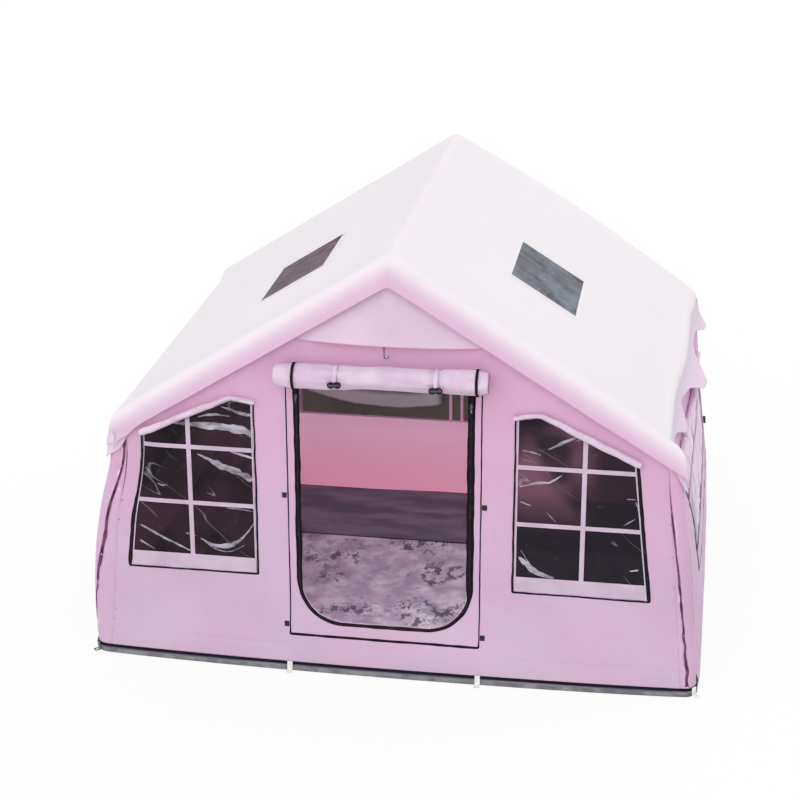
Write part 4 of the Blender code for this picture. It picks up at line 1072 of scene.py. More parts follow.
for k, (name, (outline, place)) in enumerate(windows.items()):
    rear = name == "rear"
    film_edge = grown(outline, 0.003 if rear else film_lap)
    slots = bar_slots if rear else []
    flat, faces = filled(film_edge, slots, 0.012)
    rim = np.clip(gap_from(flat, film_edge) / 0.03, 0, 1)
    depth = 0.0030 + 0.004 * rim * crumpled(flat, 9) if rear else -0.0024 - 0.007 * rim * crumpled(flat, 100 + k)
    pane = add_piece("film_" + name, place(*flat.T, depth), faces, film_looks[name],
                     ["window_film_" + name])
    cloth = area_of(film_edge) - sum(area_of(slot) for slot in slots)
    "wall_" + name


# Creases: the front films' folds, where the vinyl stands in low ridges, painted pale as a reflection of the sky.
# Each is a short line of (across, up, width) in millimetres, with the left window's first.
def paint_crease(at):
    # The strips' pale colour and their cover paint the sky's reflection on the creases.
    smear = at.scaled(0.3, 1.0, 1.0).grain(0.024, 2.0, 0.5)
    broad = at.grain(0.08, 2.0)
    cover = (smear.rise(0.25, 0.75) * 0.40 + broad.rise(0.3, 0.7) * 0.40 + 0.12).least(0.9)
    return {"Base Color": smear.blend((0.34, 0.31, 0.38), (0.60, 0.57, 0.65)), "Roughness": 0.5,
            "Specular IOR Level": 0.15, "Alpha": cover, "height": smear, "depth": 0.001}


crease_look = make_look("film_crease", paint_crease)
creases = {
    "left": [
        [(-1065, 1262, 9), (-929, 1260, 29), (-770, 1252, 43), (-654, 1228, 34)],
        [(-815, 1360, 6), (-718, 1329, 16), (-657, 1324, 9)],
        [(-928, 1298, 4), (-859, 1315, 12), (-768, 1311, 4)],
        [(-938, 1107, 6), (-887, 1084, 18), (-826, 1054, 29), (-740, 1024, 34), (-665, 989, 38)],
        [(-780, 1130, 3), (-725, 1118, 11), (-662, 1102, 8)],
        [(-1242, 713, 6), (-1180, 681, 13), (-1119, 649, 13), (-979, 584, 5)],
        [(-1247, 629, 10), (-1170, 584, 4)],
        [(-941, 662, 4), (-867, 628, 20), (-791, 636, 26), (-727, 678, 11), (-659, 769, 4)],
        [(-1011, 684, 13), (-959, 672, 3)],
        [(-1212, 1020, 3), (-1190, 1000, 6), (-1172, 985, 3)],
        [(-1145, 940, 3), (-1118, 930, 8), (-1092, 938, 3)],
        [(-930, 655, 3), (-867, 610, 5), (-792, 600, 4), (-715, 640, 3)],
        [(-803, 833, 4), (-734, 829, 9), (-672, 823, 3)],
        [(-1052, 1278, 3), (-1014, 1295, 8), (-974, 1306, 3)]],
    "right": [
        [(750, 1237, 4), (817, 1274, 15), (883, 1308, 9)],
        [(629, 1227, 7), (673, 1220, 9), (720, 1207, 3)],
        [(630, 1182, 3), (697, 1168, 6)],
        [(621, 1041, 6), (694, 1064, 13), (764, 1074, 11), (824, 1116, 4)],
        [(747, 928, 3), (769, 900, 6), (798, 871, 3)],
        [(625, 679, 11), (668, 635, 27), (729, 597, 23), (796, 580, 10)],
        [(633, 716, 3), (692, 629, 5), (767, 587, 3)],
        [(1113, 874, 3), (1139, 894, 8), (1169, 915, 2)],
        [(1152, 643, 6), (1194, 651, 9)],
        [(1125, 1013, 4), (1167, 1012, 3)],
        [(625, 965, 7), (679, 948, 3)],
        [(1167, 1000, 3), (1183, 951, 6), (1195, 888, 3)]]}


def offset_line(line, by):
    """Open flat line moved sideways, to its right for a positive distance."""
    ways = unit(np.diff(line, axis=0))
    before, after = np.vstack([ways[:1], ways]), np.vstack([ways, ways[-1:]])
    normal = np.column_stack([before[:, 1] + after[:, 1], -(before[:, 0] + after[:, 0])])
    normal /= (1 + (before * after).sum(axis=1))[:, None]
    return line + normal * by


def eased(rows, count):
    """Smooth line through rows of numbers."""
    rows = np.vstack([2 * rows[0] - rows[1], rows, 2 * rows[-1] - rows[-2]])
    found = []
    for a, b, c, d in zip(rows, rows[1:], rows[2:], rows[3:]):
        s = np.linspace(0, 1, count, endpoint=False)[:, None]
        square, cube = 2 * a - 5 * b + 4 * c - d, 3 * b - a - 3 * c + d
        found.append(0.5 * (2 * b + (c - a) * s + square * s ** 2 + cube * s ** 3))
    return np.vstack([*found, rows[-2]])


for name, lines in creases.items():
    strips, quads, first = [], [], 0
    for k, line in enumerate(lines):
        line = eased(np.array(line, float) / 1000, 9)
        spots = raised(line[:, :2], k * 0.1)
        width = np.maximum(line[:, 2], 0.0015) * (1 + 0.35 * noise(spots, 0.03, 230 + k))
        width[[0, -1]] *= 0.25
        for share, lift in ((-0.5, -0.0022), (-0.2, -0.0010), (0.15, -0.0007), (0.5, -0.0022)):
            edge = offset_line(line[:, :2], (share * width + 0.15 * width * noise(spots, 0.02, 240 + k))[:, None])
            strips.append(front_place(*edge.T, np.full(len(edge), lift)))
        quads.append(grid_faces(4, len(line)) + first)
        first += 4 * len(line)
    add_piece("film_creases_" + name, np.vstack(strips), np.vstack(quads), crease_look)


# Zips: black woven tape sewn flat round each window, the door's U opening and its outer seam.
# A coil of small teeth runs down the middle, and the tape ripples a little where the cloth is gathered.
def paint_zip(at):
    rib = at.ribs(0.0018, "Z").most(at.ribs(0.0018, "X").least(at.ribs(0.0018, "Y")))
    lint = at.grain(0.02, 4.0)
    colour = lint.rise(0.5, 0.8).blend((0.007, 0.004, 0.008), (0.030, 0.018, 0.030))
    return {"Base Color": colour, "Roughness": 0.85, "Specular IOR Level": 0.12, "height": rib, "depth": 0.0004}


def paint_teeth(at):
    rub = at.grain(0.03, 3.0)
    return {"Base Color": rub.rise(0.4, 0.7).blend((0.008, 0.006, 0.009), (0.035, 0.028, 0.036)), "Roughness": 0.45,
            "Specular IOR Level": 0.25, "height": rub, "depth": 0.0003}


zip_look = make_look("zip_tape", paint_zip)
teeth_look = make_look("zip_teeth", paint_teeth)


def boxes(middles, ways, sides, normals, size):
    """Small blocks, one for each row of middles, long along ways, sides and normals by size."""
    corner = np.array(list(product((-0.5, 0.5), repeat=3)))
    corner = corner * size
    points = (middles[:, None] + corner[:, 0, None] * ways[:, None] + corner[:, 1, None] * sides[:, None]
              + corner[:, 2, None] * normals[:, None])
    quads = np.array([(0, 1, 3, 2), (4, 6, 7, 5), (0, 4, 5, 1), (2, 3, 7, 6), (0, 2, 6, 4), (1, 5, 7, 3)])
    return points.reshape(-1, 3), (quads[None] + 8 * np.arange(len(middles))[:, None, None]).reshape(-1, 4)


def spaced(line, pitch_length):
    """Points evenly along an open line of any dimension, with the ways there."""
    runs = runs_of(line)
    at = np.arange(pitch_length / 2, runs[-1], pitch_length)
    points = np.column_stack([np.interp(at, runs, line[:, k]) for k in range(line.shape[1])])
    ahead_points = np.column_stack([np.interp(at + 1e-4, runs, line[:, k]) for k in range(line.shape[1])])
    ways = ahead_points - points
    ways /= np.maximum(np.linalg.norm(ways, axis=1), 1e-12)[:, None]
    return points, ways


def zip_fastener(name, node, route, place, widths, sway, seed):
    """Ribbon along a flat route, and the teeth down its middle. widths gives its width at flat points,
    and sway is how far the sewn line strays."""
    route = divided(bent(route, 0.006, 4) if len(route) < 7 else route, 0.006)
    width = np.convolve(np.pad(widths(route), 4, mode="edge"), np.full(9, 1 / 9), "valid")
    cell = raised(route)
    width = width * (1 + 0.14 * noise(cell, 0.06, seed + 20))
    stray = sway * (noise(cell, 0.11, seed + 21) + 0.5 * noise(cell, 0.04, seed + 22))
    tapes = []
    half_section = ((1.0, 0.0003), (0.86, 0.0009), (0.25, 0.0010), (0.12, 0.0017))
    section = [(-share, lift) for share, lift in half_section] + [*half_section[::-1]]
    for share, lift in section:
        line = offset_line(route, (share * width / 2 + stray)[:, None])
        ripple = 0.0007 * (1 + noise(raised(line, share), 0.045, seed)) * abs(share)
        tapes.append(place(*line.T, lift + ripple * 0.6))
    add_piece(name, np.vstack(tapes), grid_faces(len(tapes), len(route)), zip_look, [node])
    flat, ways = spaced(offset_line(route, stray[:, None]), 0.0034)
    level = np.zeros(len(flat))
    normals = facing_out(place, flat)
    ahead_3d = unit(place(*(flat + ways * 0.01).T, level) - place(*flat.T, level))
    sideways = np.cross(ahead_3d, normals)
    shift = np.where(np.arange(len(flat)) % 2, 0.0007, -0.0007)[:, None] * sideways
    middles = place(*flat.T, level + 0.0017) + shift
    points, faces = boxes(middles, ahead_3d, sideways, normals, (0.0021, min(width.mean() * 0.24, 0.0052), 0.0011))
    add_piece(name + "_teeth", points, faces, teeth_look, smooth=False)


window_zip_width = 0.018


def window_widths(flat):
    """A window zip's tape is folded under at the foot and near the door, and stands full at the outer side."""
    u, v = abs(flat[:, 0] - door_x), flat[:, 1]
    outer = 0.014 + 0.010 * np.clip((window_top - v) / (window_top - window_foot), 0, 1) ** 1.5
    return np.where((u > 1.05) & (v > window_foot), outer, np.where(v > eave_z - 0.10, 0.008, 0.0095))


for k, (name, (outline, place)) in enumerate(windows.items()):
    ring = grown(outline, window_zip_width / 2 + 0.0003)
    front = name.startswith("front")
    first = 3 if name.endswith("right") else 1
    route = round_trip(np.roll(ring, -first, axis=0)) if front else ring[[3, 0, 1, 2]]
    zip_fastener("zip_" + name, "window_zip_" + name, route, place,
                 window_widths if front else lambda flat: np.full(len(flat), window_zip_width), 0.0022, 130 + k)


def door_widths(flat):
    """The door's U zip is drawn wider beside the door, more on the right, its black tape also standing for painted
    shade in the fold beside it; its tape turns under along the foot.
    """
    return np.where(flat[:, 1] > zip_foot + door_corner, np.where(flat[:, 0] > 0, 0.036, 0.031), 0.019)


def edge_widths(flat):
    return np.where(flat[:, 1] < door_foot + 0.004, 0.013, 0.0062)


zip_fastener("zip_door", "door_zip", door_zip_route, front_place, door_widths, 0.0015, 141)
zip_fastener("zip_door_edge", "door_edge_zip", edge_zip_route, front_place, edge_widths, 0.0012, 142)


# Hook-and-loop pads: four small black squares beside the door's outer seam, which take the straps that
# hold the unrolled door. They are napped tape, sewn flat with rounded corners.
def paint_nap(at):
    nap = at.grain(0.0015, 3.0)
    return {"Base Color": nap.blend((0.008, 0.008, 0.010), (0.035, 0.033, 0.038)), "Roughness": 0.95,
            "height": nap, "depth": 0.002}


nap_look = make_look("napped_tape", paint_nap)
pad_half_width, pad_half_height, pad_thickness = 0.012, 0.014, 0.0022
for (u, side), v in product(zip(door_edges, (-1, 1)), (0.238, 0.922)):
    square = [(pad_half_width, -pad_half_height), (pad_half_width, pad_half_height),
              (-pad_half_width, pad_half_height), (-pad_half_width, -pad_half_height)]
    pad_edge = rounded(square, [0.003] * 4, 4) + (u + side * 0.018, v)
    flat, faces = filled(pad_edge, [], 0.003)
    rim = gap_from(flat, pad_edge)
    uneven = 1 + 0.1 * noise(np.column_stack([flat, rim]), 0.004, 9)
    lift = 0.0008 + pad_thickness * (1 - np.exp(-rim / 0.0012)) * uneven
    name = f"loop_pad_{'l' if side < 0 else 'r'}_{'low' if v < 0.5 else 'high'}"
    add_piece(name, front_place(*flat.T, lift), faces, nap_look, thick=0.001)


# Rolled covers: each window's cover and the storm door are wound up and tied above their opening.
# A cover is one long sheet wound round itself, drawn in where its ties hold it.
def paint_roll(at):
    drift = at.grain(0.10, 3.0)
    slub = at.grain(0.006, 4.0, 0.6)
    weave = at.ribs(0.0016, "X").least(at.ribs(0.0016, "Z"))
    colour = drift.rise(0.3, 0.7).blend((0.57, 0.42, 0.55), (0.64, 0.52, 0.63))
    return {"Base Color": colour, "Roughness": 0.66 + 0.2 * slub, "Sheen Weight": 0.15, "Specular IOR Level": 0.3,
            "height": weave * 0.25 + slub, "depth": 0.0005}


roll_look = make_look("rolled_cover", paint_roll)


even_roll = ((0.0, 1.0), (1.0, 1.0))


def wound(path, outward, radius, core, layer, pinches, folds, seed, tail, taper=even_roll):
    """Points and faces of a sheet wound round a path; its outer end goes up the wall behind the roll.
    pinches holds (how far along, share of the radius, reach) for each tie, and taper holds (share of the
    run, share of the radius) for a roll that was wound tighter at one end."""
    ways = directions(path)
    upward = np.cross(outward, ways)
    upward *= np.where(upward[:, 2:] < 0, -1, 1)
    runs = runs_of(path)
    turns = (radius - core) / layer
    per_turn = 30
    angles = math.pi + np.arange(round(turns * per_turn) + 1) / per_turn * 2 * math.pi - turns * 2 * math.pi
    reach = core + (angles - angles[0]) / (2 * math.pi) * layer
    shrink = np.interp(runs / runs[-1], *zip(*taper))
    gather = np.zeros(len(path))
    for place, share, spread in pinches:
        gap = np.abs(runs - place)
        shrink = np.minimum(shrink, 1 - (1 - share) * np.exp(-(np.maximum(gap - 0.011, 0) / spread) ** 2))
        gather += np.exp(-np.maximum(gap - 0.011, 0) / (spread * 1.6)) * np.clip(gap / 0.02, 0, 1)
    cell = np.stack(np.broadcast_arrays(runs[:, None] * 0.24, np.cos(angles) * reach, np.sin(angles) * reach), -1)
    broad = noise(cell.reshape(-1, 3), 0.034, seed).reshape(len(path), -1)
    fine = noise((cell * (0.4, 1.0, 1.0)).reshape(-1, 3), 0.010, seed + 1).reshape(len(path), -1)
    outer = reach / radius
    r = reach * shrink[:, None] + folds * outer * (broad * 0.8 + fine * (0.25 + gather[:, None] * 1.1))
    r = np.minimum(r, radius * np.maximum(shrink, 1)[:, None] * (1 + 0.10 * outer))
    points = (path[:, None] + r[..., None] * (np.cos(angles)[:, None] * outward[:, None]
                                              + np.sin(angles)[:, None] * upward[:, None]))
    last = points[:, -1:] + upward[:, None] * np.linspace(0.2, 1, 5)[:, None] * tail
    points = np.concatenate([points, last], axis=1)
    length = np.hypot(np.diff(reach), (reach[1:] + reach[:-1]) / 2 * np.diff(angles)).sum() + tail
    return points.reshape(-1, 3), grid_faces(points.shape[0], points.shape[1]), (runs[-1], length)


def ring_at(path, outward, run, radius, width, sides=40):
    """Flat band round a roll at a distance along its path."""
    runs = runs_of(path)
    ways = directions(path)
    rows = []
    turns = full_turn(sides)
    for off in np.linspace(-0.5, 0.5, 5):
        at = run + off * width
        middle = np.array([np.interp(at, runs, path[:, k]) for k in range(3)])
        k = int(np.argmin(np.abs(runs - run)))
        upward = np.cross(outward[k], ways[k])
        upward *= -1 if upward[2] < 0 else 1
        bulge = radius + 0.0006 * (1 - (2 * off) ** 2)
        rows.append(middle + bulge * (np.cos(turns)[:, None] * outward[k] + np.sin(turns)[:, None] * upward))
    return np.vstack(rows), grid_faces(5, sides, closed=True)


roll_radius = 0.018
tie_pinch = 0.72       # share of the radius that a cover's tie leaves
for k, (name, (outline, place)) in enumerate(windows.items()):
    lift_v = roll_radius * 0.9
    taper = even_roll
    if name.startswith("front"):
        side = -1 if name.endswith("left") else 1
        slope = unit(window_far - window_bend)
        away = np.array([-slope[1], slope[0]]) * lift_v
        route = np.array([(window_near - roll_radius, right_window[4, 1] + lift_v * 0.5), window_bend + away * 0.8,
                          window_far + away + slope * roll_radius])
        route = divided(bent(route, 0.03, 6), 0.012)
        route[:, 1] += 0.005 * noise(np.column_stack([route, route[:, 0]]), 0.075, 158 + k)
        route = route * (side, 1) + (door_x, 0)
        ties = [0.12]
        near = 0.30 if side < 0 else 0.62
        taper = ((0.0, near), (0.17, near), (0.32, 0.95), (0.6, 1.1), (0.8, 1.2), (0.94, 1.2), (1.0, 0.7))
    else:
        half, top = (half_rear_window, rear_top) if name == "rear" else (half_side_window, side_top)
        route = np.array([(-half, top + lift_v), (half, top + lift_v)])
        ties = [half * 0.5, half * 1.5]
    route = divided(route, 0.009)
    swell = np.maximum(np.interp(np.linspace(0, 1, len(route)), *zip(*taper)), 1)
    path = place(*route.T, roll_radius * swell + 0.0003)
    outward = facing_out(place, route)
    pinches = [(tie, tie_pinch, 0.020) for tie in ties]
    points, faces, size = wound(path, outward, roll_radius, 0.0030, 0.0026, pinches, 0.0060, 160 + k, 0.012, taper)
    cover = add_piece("cover_roll_" + name, points, faces, roll_look, ["window_roll_" + name])
    "wall_" + name
    for n, tie in enumerate(ties):
        share = tie_pinch * (near if name.startswith("front") else 1.0)
        points, faces = ring_at(path, outward, tie, roll_radius * share + 0.0012, 0.012)
        add_piece(f"cover_tie_{name}_{n}", points, faces, roll_look, thick=0.001)

door_roll_radius, door_roll_half, door_roll_z = 0.062, 0.503, 1.5668
route = divided([(door_x - door_roll_half, door_roll_z), (door_x + door_roll_half, door_roll_z)], 0.008)
path = front_place(*route.T, np.full(len(route), door_roll_radius + 0.0003))
path[:, 2] += 0.016 * (route[:, 0] - door_x)
outward = facing_out(front_place, route)
tie_x = 0.237
tie_runs = [-tie_x - door_x + door_roll_half, tie_x - door_x + door_roll_half]
ties = [(run, 0.83, 0.035) for run in tie_runs]
door_taper = ((0.0, 0.78), (0.03, 0.90), (0.1, 1.0), (0.2, 0.93), (0.8, 0.93), (0.95, 1.0), (1.0, 0.80))
points, faces, size = wound(path, outward, door_roll_radius, 0.010, 0.0075, ties, 0.0095, 170, 0.030, door_taper)
storm_door = add_piece("storm_door_roll", points, faces, roll_look, ["door_roll"])
for name, run in (("left", 0.094), ("right", 2 * door_roll_half - 0.050)):
    points, faces = ring_at(path, outward, run, door_roll_radius + 0.0012, 0.013)
    add_piece("storm_door_zip_" + name, points, faces, zip_look, thick=0.001)
for name, run in zip(("left", "right"), tie_runs):
    points, faces = ring_at(path, outward, run, door_roll_radius * 0.84 + 0.0020, 0.022)
    add_piece("storm_door_tie_" + name, points, faces, roll_look, ["door_tie_" + name], thick=0.0015)


# Door cords: an elastic cord knotted in a bow behind each toggle, which draws the rolled door in.
def paint_cord(at):
    twist = at.ribs(0.0030, "X").most(at.ribs(0.0030, "Z")) * 0.6
    return {"Base Color": twist.blend((0.006, 0.004, 0.008), (0.035, 0.024, 0.036)), "Roughness": 0.9,
            "Specular IOR Level": 0.1, "height": twist, "depth": 0.0004}


cord_look = make_look("elastic_cord", paint_cord)
tie_turn = math.radians(-20.0)
cord_reach = door_roll_radius * 0.84 + 0.0060
cord_out = door_roll_radius + cord_reach * math.cos(tie_turn)
cord_v = door_roll_z + cord_reach * math.sin(tie_turn)
for name, middle in (("left", -tie_x), ("right", tie_x)):
    for part, (reach, rise, fall) in (("bow_a", (0.030, 0.012, 0.012)), ("bow_b", (-0.028, 0.010, 0.014))):
        turn = np.linspace(0, 2 * math.pi, 26)
        u = middle + reach * (1 - np.cos(turn)) / 2
        v = cord_v + np.where(turn < math.pi, rise, fall) * np.sin(turn)
        line = front_place(u, v, cord_out + 0.004 * np.sin(turn / 2) + 0.002)
        points, faces = tube(line, 0.0042, (0, -1, 0.2), 8)
        add_piece(f"door_cord_{part}_{name}", points, faces, cord_look)


# Gable vent flaps: triangular hoods sewn under the rafters, which belly out along their hems.
# A thin stay in the hem keeps the vent behind open; the lamp hook hangs from the front one.
def paint_flap(at):
    values = paint_wall(at)
    # The flap is the wall's cloth painted paler and more lilac: painted light, for the flap catching more light than
    # the wall below it.
    drift = at.grain(0.25, 3.0).rise(0.3, 0.7)
    return {**values, "Base Color": drift.blend((0.74, 0.62, 0.76), (0.80, 0.70, 0.83))}


flap_look = make_look("flap_fabric", paint_flap)
flap_apex, flap_foot, flap_belly = 2.0098, 1.7198, 0.042
for name, place, node in (("front", front_place, "gable_flap_front"), ("rear", rear_place, "gable_flap_rear")):
    rows, columns = 30, 90
    share = np.linspace(0.05, 1, rows)[:, None]
    across = np.linspace(-1, 1, columns)[None, :]
    v = flap_apex - (flap_apex - flap_foot) * share + 0 * across
    u = -across * (flap_apex - v) / math.tan(pitch)
    cell = np.stack([u * 0.8, v, np.zeros_like(u)], -1).reshape(-1, 3)
    ripple = (noise(cell, 0.07, 181) * 0.004 + noise(cell, 0.025, 182) * 0.0012).reshape(rows, columns)
    inner = (1 - across ** 2) * np.clip((1 - share) / 0.12, 0, 1)
    w = 0.0006 + flap_belly * share * (1 - across ** 2) + ripple * inner
    points = place(u.ravel(), v.ravel(), w.ravel())
    flap = add_piece("vent_flap_" + name, points, grid_faces(rows, columns), flap_look, [node])
    width = 2 * (flap_apex - flap_foot) / math.tan(pitch)
    width * (flap_apex - flap_foot) / 2
    "wall_front_header" if name == "front" else "wall_rear"
    hem = place(u[-1], v[-1] - 0.001, w[-1])
    points, faces = tube(hem, 0.0024, (0, 0, 1), 10)
    add_piece("vent_flap_hem_" + name, points, faces, wall_look)


# Roof: one coated sheet of pink cloth laid over the beams, rolled down over both gable beams to a pink fascia; its
# white is painted light where the sky lights it. It is pulled tight over the beams and sags a little between them;
# its hems wave.
def paint_roof(at):
    y = abs(at.axis("Y"))
    fall = 2.1501 - abs(at.axis("X")) * math.tan(pitch) - at.axis("Z")
    # Painted light: the cloth is drawn white where it faces the sky, and the mask below paints the shade that turns
    # it back to pink down the fascia.
    front = y.rise(1.100, 1.175)
    shade_fade_to_pink = front * fall.rise(-0.010, 0.125)
    drift = at.grain(0.35, 3.0)
    slub = at.grain(0.008, 4.0, 0.6)
    soil = (drift * slub).rise(0.27, 0.40) * 0.05
    white = soil.blend((0.915, 0.930, 0.945), (0.76, 0.74, 0.79))
    cloth = shade_fade_to_pink.blend(white, (0.75, 0.53, 0.70))
    weave = at.ribs(0.0018, "X") * at.ribs(0.0018, "Y")
    return {"Base Color": cloth, "Roughness": 0.6 + 0.2 * slub, "Specular IOR Level": 0.3,
            "height": weave * 0.25 + slub + drift * 2.0, "depth": 0.0006, "through": 0.30, "glow": (0.90, 0.68, 0.78)}


roof_look = make_look("roof_fabric", paint_roof)
roof_radius = 0.0598
slope_top = ridge_z + roof_radius / math.cos(pitch)
edge_flare, fascia_drop = 0.2, 0.14
profile_end = eave_x + roof_radius
edge_radius = 0.058 + 0.006 + 0.0015
skylight_near = {-1: 0.435, 1: 0.485}
skylight_far = {-1: 0.76, 1: 0.81}
skylight_y = {-1: -0.25, 1: -0.152}
skylight_length = 0.545
eave_turns = np.linspace(0, math.pi / 2 - pitch, 9)
slope_start = eave_x + roof_radius * math.sin(pitch)
skylight_x = [*skylight_near.values(), *skylight_far.values()]
slope_x = np.unique(np.concatenate([np.arange(0.0, slope_start - 0.006, 0.0145), skylight_x]).round(5))[::-1]
half_x = np.concatenate([eave_x + roof_radius * np.cos(eave_turns), slope_x])
ridge_ease = 0.010
half_z = np.concatenate([eave_z + roof_radius * np.sin(eave_turns),
                         slope_top - np.sqrt(slope_x ** 2 + ridge_ease ** 2) * math.tan(pitch)])
profile_x = np.concatenate([-half_x, half_x[-2::-1]])
profile_z = np.concatenate([half_z, half_z[-2::-1]])
edge_turns = np.linspace(0, math.pi / 2 * 0.93, 11)[1:]
edge_y = rafter_y + edge_radius * np.sin(edge_turns)
edge_drop = roof_radius * (1 - np.cos(edge_turns)) / math.cos(pitch)
fascia_shares = np.linspace(0, 1, 9)[1:]
fascia = edge_drop[-1] + (fascia_drop - edge_drop[-1]) * fascia_shares
edge_y = np.concatenate([edge_y, edge_y[-1] + edge_flare * (fascia - edge_drop[-1])])
edge_drop = np.concatenate([edge_drop, fascia])
skylight_ends = [y + way * skylight_length / 2 for y in skylight_y.values() for way in (-1, 1)]
level_y = np.unique(np.concatenate([np.linspace(-rafter_y, rafter_y, 150), skylight_ends]).round(5))
station_y = np.concatenate([-edge_y[::-1], level_y, edge_y])
station_drop = np.concatenate([edge_drop[::-1], 0 * level_y, edge_drop])


def roof_sag(x, y):
    """How far the sheet hangs below its plane between the beams, and nothing beside the skylights."""
    sag = 0.011 * np.sin(np.clip((abs(x) - 0.05) / 1.26, 0, 1) * math.pi) ** 0.8
    sag = sag * np.clip((rafter_y - 0.05 - abs(y)) / 0.22, 0, 1) ** 0.7
    for side, middle in skylight_y.items():
        off_x = np.maximum(skylight_near[side] - x * side, x * side - skylight_far[side])
        off_y = abs(y - middle) - skylight_length / 2
        sag = sag * np.clip(np.maximum(off_x, off_y) / 0.10, 0, 1) ** 0.7
    return sag


y, x = np.meshgrid(station_y, profile_x, indexing="ij")
drop, z = np.meshgrid(station_drop, profile_z, indexing="ij")
x = x * (1 + edge_flare * drop / profile_end)
z = z - drop
roof = np.stack([x, y, z], -1)
normal = unit(np.cross(np.gradient(roof, axis=1), np.gradient(roof, axis=0)))
normal *= np.where(normal[..., 2:] < -0.5, -1, 1)
rows, columns = x.shape
cell = roof.reshape(-1, 3)
broad = noise(cell * (1.0, 0.6, 1.0), 0.30, 190).reshape(rows, columns)
waves = noise(cell * (1.0, 1.0, 0.25), 0.075, 191).reshape(rows, columns)
flat_part = np.clip(roof_sag(x, y) / 0.004, 0, 1) * (drop == 0)
hem_part = np.clip((drop - 0.05) / 0.07, 0, 1)
out = -roof_sag(x, y) * (drop == 0) + 0.0016 * broad * flat_part + 0.0035 * waves * hem_part
out += 0.030 * np.sin(np.clip(x / 1.36, 0, 1) * math.pi) * ramp(y, 0.55, 1.12)
roof = roof + normal * out[..., None]
roof[..., 2] += 0.0030 * noise(cell * (1.0, 0.2, 0.0), 0.16, 192).reshape(rows, columns) * hem_part ** 2
faces = grid_faces(rows, columns)
middle = cell[faces].mean(axis=1)
kept = np.ones(len(faces), bool)
for side, middle_y in skylight_y.items():
    kept &= ~((np.abs(middle[:, 1] - middle_y) < skylight_length / 2) & (middle[:, 0] * side > skylight_near[side])
              & (middle[:, 0] * side < skylight_far[side]))
canopy = add_piece("roof_sheet", roof.reshape(-1, 3), faces[kept], roof_look, ["roof_canopy"])
across_length = np.hypot(np.diff(profile_x), np.diff(profile_z)).sum()
along_length = np.hypot(np.diff(station_y), np.diff(station_drop)).sum()
for name, row in (("front", 0), ("rear", -1)):
    points, faces = tube(roof[row], 0.0022, (0, 1, 0), 8)
    add_piece("roof_hem_" + name, points, faces, roof_look)


# Skylights: one clear film pane welded into each slope, with a sewn border. The film is crumpled, and its colours are
# painted:
# plum for the room seen through it on the left, grey blue for a painted reflection of the sky on the right, with
# painted shine.
def paint_skylight(dark, light):
    def painter(at):
        warp = at.scaled(1.0, 0.55, 1.4).grain(0.060, 2.0, 0.4)
        sharp = abs(warp - 0.5).rise(0.035, 0.0) * at.grain(0.16, 2.0).rise(0.46, 0.58)
        broad = at.moved((2.3, 0.4, 1.2)).scaled(1.2, 0.8, 1.2).grain(0.22, 3.0, 0.55).rise(0.34, 0.66)
        # shine paints highlights on the film's crumples.
        shine = (broad * 0.85 + sharp * 0.30).least(1.0)
        return {"Base Color": shine.blend(dark, light), "Roughness": 0.35 + 0.3 * shine, "Specular IOR Level": 0.06,
                "Alpha": (shine * 0.03 + 0.96).least(1.0), "height": warp, "depth": 0.010}
    return painter


skylight_looks = {-1: make_look("skylight_film_left", paint_skylight((0.055, 0.036, 0.046), (0.175, 0.120, 0.145))),
                  1: make_look("skylight_film_right", paint_skylight((0.050, 0.058, 0.070), (0.205, 0.235, 0.290)))}
for side, name in ((-1, "left"), (1, "right")):
    near, far = skylight_near[side], skylight_far[side]
    outline = np.array([(near, -skylight_length / 2), (far, -skylight_length / 2), (far, skylight_length / 2),
                        (near, skylight_length / 2)])

    def roof_place(flat, w):
        u, v = flat.T
        rise = slope_top - np.sqrt(u ** 2 + ridge_ease ** 2) * math.tan(pitch)
        return np.column_stack([side * (u + w * math.sin(pitch)), skylight_y[side] + v, rise + w * math.cos(pitch)])

    flat, faces = filled(outline, [], 0.012)
    rim = np.clip(gap_from(flat, outline) / 0.03, 0, 1)
    points = roof_place(flat, -0.0008 - 0.010 * rim * crumpled(flat, 195 + side))
    pane = add_piece("skylight_film_" + name, points, faces[:, ::side], skylight_looks[side],
                     ["skylight_" + name])
    (far - near) / math.cos(pitch)
    outer, inner = grown(outline, 0.012), grown(outline, -0.003)
    flat, faces = filled(outer, [inner], 0.010)
    hem_gap = np.minimum(gap_from(flat, outer), gap_from(flat, inner))
    points = roof_place(flat, 0.0006 + 0.0012 * (1 - np.exp(-hem_gap / 0.002)))
    add_piece("skylight_border_" + name, points, faces[:, ::side], roof_look)


# Side valances: white skirts hung from the eaves, cut in two arches between three flared points.
# They hang free below the eave beams, with a bound hem that waves.
def paint_valance(at):
    drift = at.grain(0.30, 3.0)
    slub = at.grain(0.008, 4.0, 0.6)
    # Painted shade: the white cloth is drawn lilac grey on its hanging face, greyer under the eave and pinker towards
    # the hem.
    low = at.axis("Z").rise(1.20, 1.08)
    cloth = low.blend((0.76, 0.71, 0.80), (0.80, 0.67, 0.79))
    return {"Base Color": cloth, "Roughness": 0.6 + 0.2 * slub, "Specular IOR Level": 0.3,
            "height": slub + drift * 2.0, "depth": 0.0006, "through": 0.30, "glow": (0.90, 0.72, 0.82)}


def paint_lobe(at):
    values = paint_valance(at)
    return {**values, "Base Color": at.grain(0.05, 2.0).blend((0.78, 0.60, 0.75), (0.84, 0.70, 0.82))}


